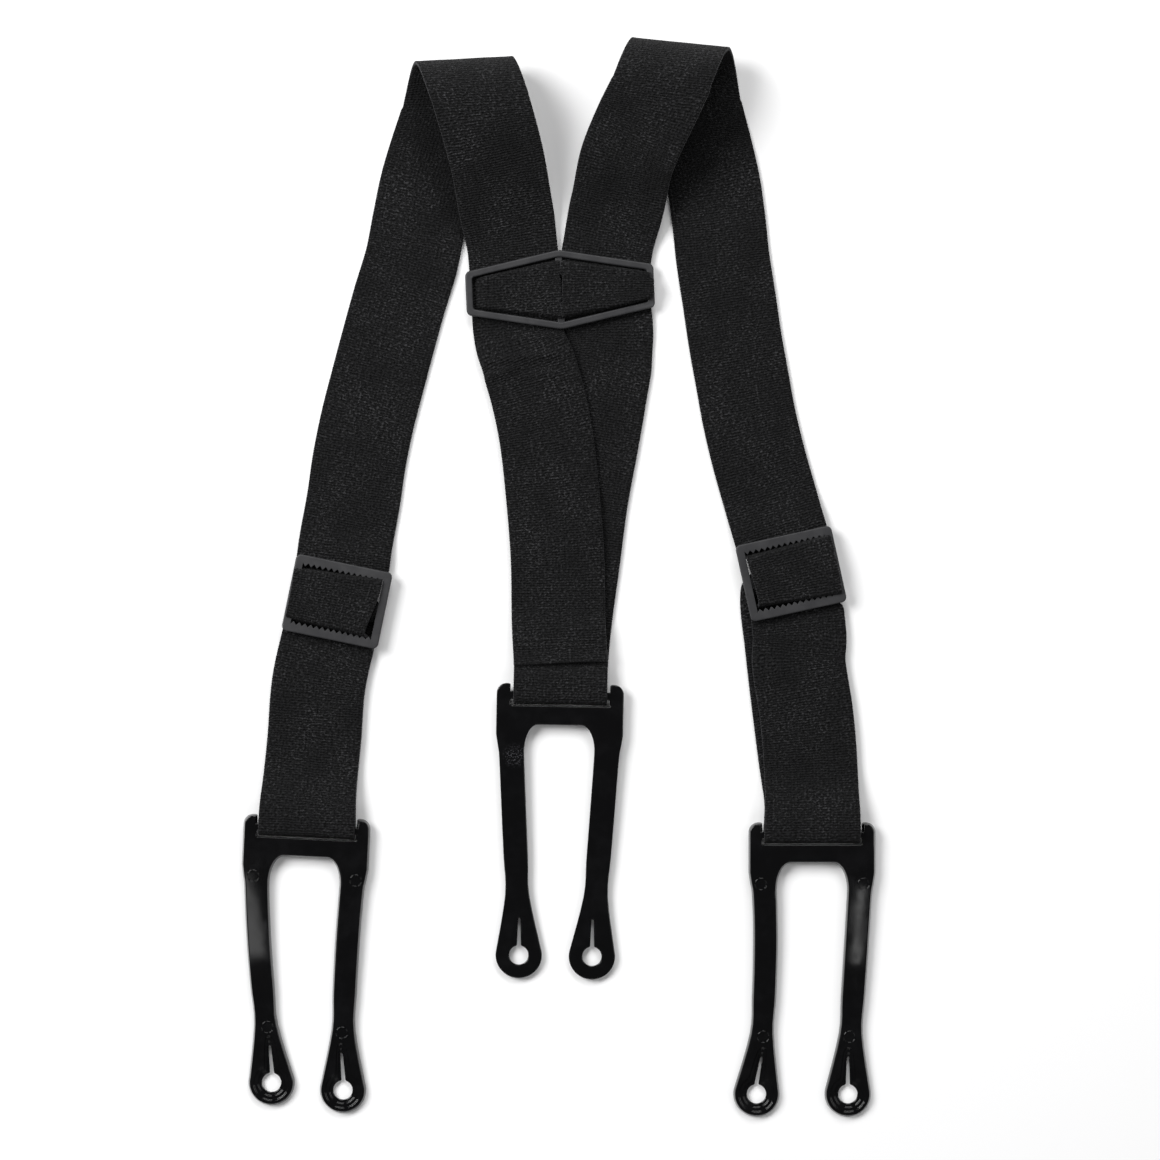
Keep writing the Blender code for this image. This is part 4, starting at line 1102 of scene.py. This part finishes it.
def right_strap():
    strap = Strap()
    strap.facing, strap.seed = -1.0, 3.7
    fold, line = fold_stations(RIGHT_FOLD)
    rear_bar = bar_middle(REAR_FORK)
    tail = [(-REAR_TAIL + (REAR_TAIL - LOOP_LEAD) * k / 40) for k in range(41)]
    profile = [(v, rear_tail_height(-v)) for v in tail]
    bend = arc((0.0, LOOP_HEIGHT), (LOOP_RADIUS, LOOP_RADIUS), 90, -90, 24)
    profile += [(p.x, p.y) for p in bend] + [(-LOOP_LEAD, LOOP_HEIGHT - LOOP_RADIUS)]
    strap.extend(turned(rear_bar, REAR_FORK["turn"], profile, WEB_WIDTH))
    strap.marks["rear"] = 0
    knots = [(PLATE_MID_HEIGHT / 2 + 0.005, HALF_WEB), (PLATE[1] - rear_bar[1] - 0.020, HALF_WEB),
             (PLATE[1] - rear_bar[1], LOOP_HEIGHT - LOOP_RADIUS)]
    back_run(strap, 1, fold[-1][0], RIGHT_BACK_ROUTE, RIGHT_REAR_ROUTE + [rear_bar],
             HALF_WEB + GAP, knots, rear_bar[1] + LOOP_LEAD, 0.0011, 0.0372, 0.0028, 0.0048, line,
             off_fold(fold))
    return over_fold(strap, fold, line, RIGHT_FRONT_ROUTE, RIGHT_ADJUSTER, RIGHT_DROP_ROUTE,
                     RIGHT_RETURN_ROUTE, RIGHT_FORK, RIGHT_WINDOW_EDGES)


def carry_strap(side, strap, adjuster, fork, material):
    """Makes a strap's pieces and attaches each one that rides on a single body to it; the others stay
    fixed where they are built.
    """
    lane_x, lane_y = plate_lane(-1 if side == "left" else 1)
    edge = PLATE_MID_HEIGHT / 2 - 0.0025
    at, turn = adjuster
    _, below = heading(turn)
    upper = Vector((*at, 0.0)) - below * (ADJUSTER_HEIGHT / 2)
    lower = Vector((*at, 0.0)) + below * (ADJUSTER_HEIGHT / 2)
    travel = upper - below * 0.095
    fork_end = Vector((*bar_middle(fork), 0.0)) - heading(fork["turn"])[1] * LOOP_LEAD
    buckle, loop = f"{side}_adjuster", f"{side}_loop"
    hanging = (buckle, loop, lower, fork_end)

    # Each run: name, first and last mark, the nodes it stands for, and either the body that it
    # rides on or two bodies and two places, which are read but not used, so that the piece stays
    # fixed. Runs that pass through a window are also cut finer, along and across.
    runs = (
        ("rear", "rear", "below_plate", ("rear_webbing", "plate_webbing"),
         ("straps", "back_plate", (lane_x, BACK_SPLIT, 0.0), (lane_x, lane_y - edge, 0.0)), ()),
        ("window", "below_plate", "above_plate", ("plate_webbing",), ("back_plate",),
         (FINE_STEP, 56)),
        ("back", "above_plate", "shoulder", ("plate_webbing", "shoulder_webbing"),
         ("straps", "back_plate", (lane_x, lane_y + 0.060, 0.0), (lane_x, lane_y + edge, 0.0)), ()),
        ("front", "shoulder", "above_adjuster",
         ("front_webbing", "shoulder_webbing", "adjuster_webbing"),
         ("straps", buckle, travel, upper), ()),
        ("adjuster", "above_adjuster", "below_adjuster", ("adjuster_webbing",), (buckle,),
         (FINE_STEP, 36)),
        ("drop", "below_adjuster", "loop_front", ("drop_webbing",), hanging, ()),
        ("loop", "loop_front", "loop_back", ("fork_loop",), (loop,), ()),
        ("return", "loop_back", "tail", ("return_webbing",), hanging, ()))
    for name, first, last, nodes, follows, cuts in runs:
        piece = strap_piece(f"{side}_{name}_strap", strap, first, last, material, *cuts)
        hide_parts(*(f"{side}_{node}" for node in nodes))
        if len(follows) == 1:
            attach(piece, follows[0])
        else:
            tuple(follows[2])
            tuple(follows[3])
            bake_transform(piece)


# ---- Sewing ----
def stitches(name, at, turn, height, length, rows, material, body):
    """Rows of short lock stitches, each a small bowed thread sunk at both ends."""
    across, below = heading(turn)
    vertices = []
    faces = []
    sides = 6
    count = round(length / STITCH_LENGTH)
    for row in range(rows):
        for k in range(count):
            begin = -length / 2 + length * k / count
            rings = []
            for j in range(7):
                t = j / 6
                x = begin + (length / count) * (0.06 + 0.88 * t)
                z = height + 0.00016 * math.sin(math.pi * t) - 0.00008
                v = row * STITCH_ROW_GAP + 0.0001 * math.sin(k * 2.3 + row)
                centre = Vector((*at, z)) + across * x + below * v
                size = THREAD_RADIUS * (0.55 + 0.45 * math.sin(math.pi * t))
                ring = []
                for i in range(sides):
                    angle = 2 * math.pi * i / sides
                    ring.append(len(vertices))
                    vertices.append(centre + below * (size * math.cos(angle))
                                    + Vector((0.0, 0.0, size * math.sin(angle))))
                rings.append(ring)
            for a, b in zip(rings, rings[1:]):
                for i in range(sides):
                    o = (i + 1) % sides
                    faces.append((a[i], a[o], b[o], b[i]))
            faces.append(tuple(rings[0][::-1]))
            faces.append(tuple(rings[-1]))
    piece = new_piece(name, vertices, faces, material)
    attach(piece, body)
    return piece


# ---- Stage ----
def make_stage():
    reach = 3.0
    corners = [(x, y, -0.0002) for x, y in ((-reach, -reach), (reach, -reach), (reach, reach),
                                            (-reach, reach))]
    floor = new_piece("floor", corners, [(0, 1, 2, 3)], floor_material())

    world = bpy.data.worlds.new("studio")
    world.use_nodes = True
    world.node_tree.nodes["Background"].inputs["Color"].default_value = (1.0, 1.0, 1.0, 1.0)
    world.node_tree.nodes["Background"].inputs["Strength"].default_value = 0.06
    bpy.context.scene.world = world

    def lamp(name, place, size, energy, facing):
        light = bpy.data.lights.new(name, "AREA")
        light.shape = "RECTANGLE"
        light.size = size[0]
        light.size_y = size[1]
        light.energy = energy
        holder = bpy.data.objects.new(name, light)
        holder.location = place
        holder.rotation_euler = facing
        bpy.context.scene.collection.objects.link(holder)

    def softbox(name, place, size, energy):
        """A lamp that faces the middle of the suspenders."""
        lamp(name, place, size, energy, (-Vector(place)).to_track_quat("-Z", "Y").to_euler())

    def gleam(name, place, size, spin, energy):
        """A small lamp that faces down, for one reflection on a fork leg."""
        lamp(name, place, size, energy, (0.0, 0.0, math.radians(spin)))

    softbox("key_softbox", (-1.20, 0.65, 1.35), (1.00, 1.00), 38.0)
    softbox("right_softbox", (1.25, 0.10, 1.20), (0.80, 1.00), 6.0)
    softbox("top_softbox", (0.15, 1.30, 1.20), (1.00, 0.70), 15.0)
    softbox("low_softbox", (0.00, -1.40, 1.10), (1.00, 0.60), 4.0)
    gleam("left_gleam", (-0.3060, -0.3600, 1.60), (0.100, 0.066), 14.0, 0.034)
    gleam("right_gleam", (0.2345, -0.3577, 1.60), (0.005, 0.060), -3.0, 0.0026)

    camera_data = bpy.data.cameras.new("camera")
    camera_data.sensor_width = 36.0
    camera_data.lens = camera_data.sensor_width * CAMERA_HEIGHT / VIEW_SIDE
    camera = bpy.data.objects.new("camera", camera_data)
    camera.location = (0.0081, 0.0, CAMERA_HEIGHT)
    bpy.context.scene.collection.objects.link(camera)
    bpy.context.scene.camera = camera
    bpy.context.scene.view_settings.view_transform = "Standard"


# ---- Assembly ----
def settle(piece, node, body):
    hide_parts(node)
    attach(piece, body)


def build():
    make_stage()
    webbing = webbing_material()
    buckle = buckle_material()
    thread = thread_material()
    black = fork_material("black_moulding", None)
    rubbed = fork_material("rubbed_black_moulding", (-0.0183, -0.0711, 0.005))

    for name, fork, material, node, body, recess_up in (
            ("left_fork_moulding", LEFT_FORK, black, "left_front_fork", "left_fork", True),
            ("right_fork_moulding", RIGHT_FORK, black, "right_front_fork", "right_fork", True),
            ("rear_fork_moulding", REAR_FORK, rubbed, "rear_fork", "rear_fork", False)):
        piece = fork_mesh(name, fork, material, recess_up)
        settle(piece, node, body)

    for name, (at, turn), node in (
            ("left_adjuster_moulding", LEFT_ADJUSTER, "left_adjuster"),
            ("right_adjuster_moulding", RIGHT_ADJUSTER, "right_adjuster")):
        settle(adjuster_piece(name, at, turn, buckle), node, node)
    settle(plate_piece(buckle), "back_plate", "back_plate")

    carry_strap("left", left_strap(), LEFT_ADJUSTER, LEFT_FORK, webbing)
    carry_strap("right", right_strap(), RIGHT_ADJUSTER, RIGHT_FORK, webbing)
    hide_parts("rear_fork_loop")

    rear_bar = bar_middle(REAR_FORK)
    seam_y = rear_bar[1] + REAR_TAIL + 0.004
    seam_height = LAYER + HALF_WEB + GAP + LAYER + GAP * 2 + HALF_WEB
    piece = stitches("rear_seam", (along(LEFT_REAR_ROUTE, seam_y), seam_y), REAR_FORK["turn"],
                     seam_height, WEB_WIDTH * 0.9, 2, thread, "straps")
    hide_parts("rear_stitching")
    for side, (at, turn) in (("left", LEFT_ADJUSTER), ("right", RIGHT_ADJUSTER)):
        below = heading(turn)[1] * 0.004
        low = ADJUSTER_BAR_BASE - GAP - HALF_WEB - HALF_WEB
        piece = stitches(f"{side}_tail_seam", (at[0] + below.x, at[1] + below.y), turn,
                         low - 0.00020, ADJUSTER_WINDOW * 0.85, 1, thread, f"{side}_adjuster")
        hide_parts(f"{side}_tail_stitching")


build()
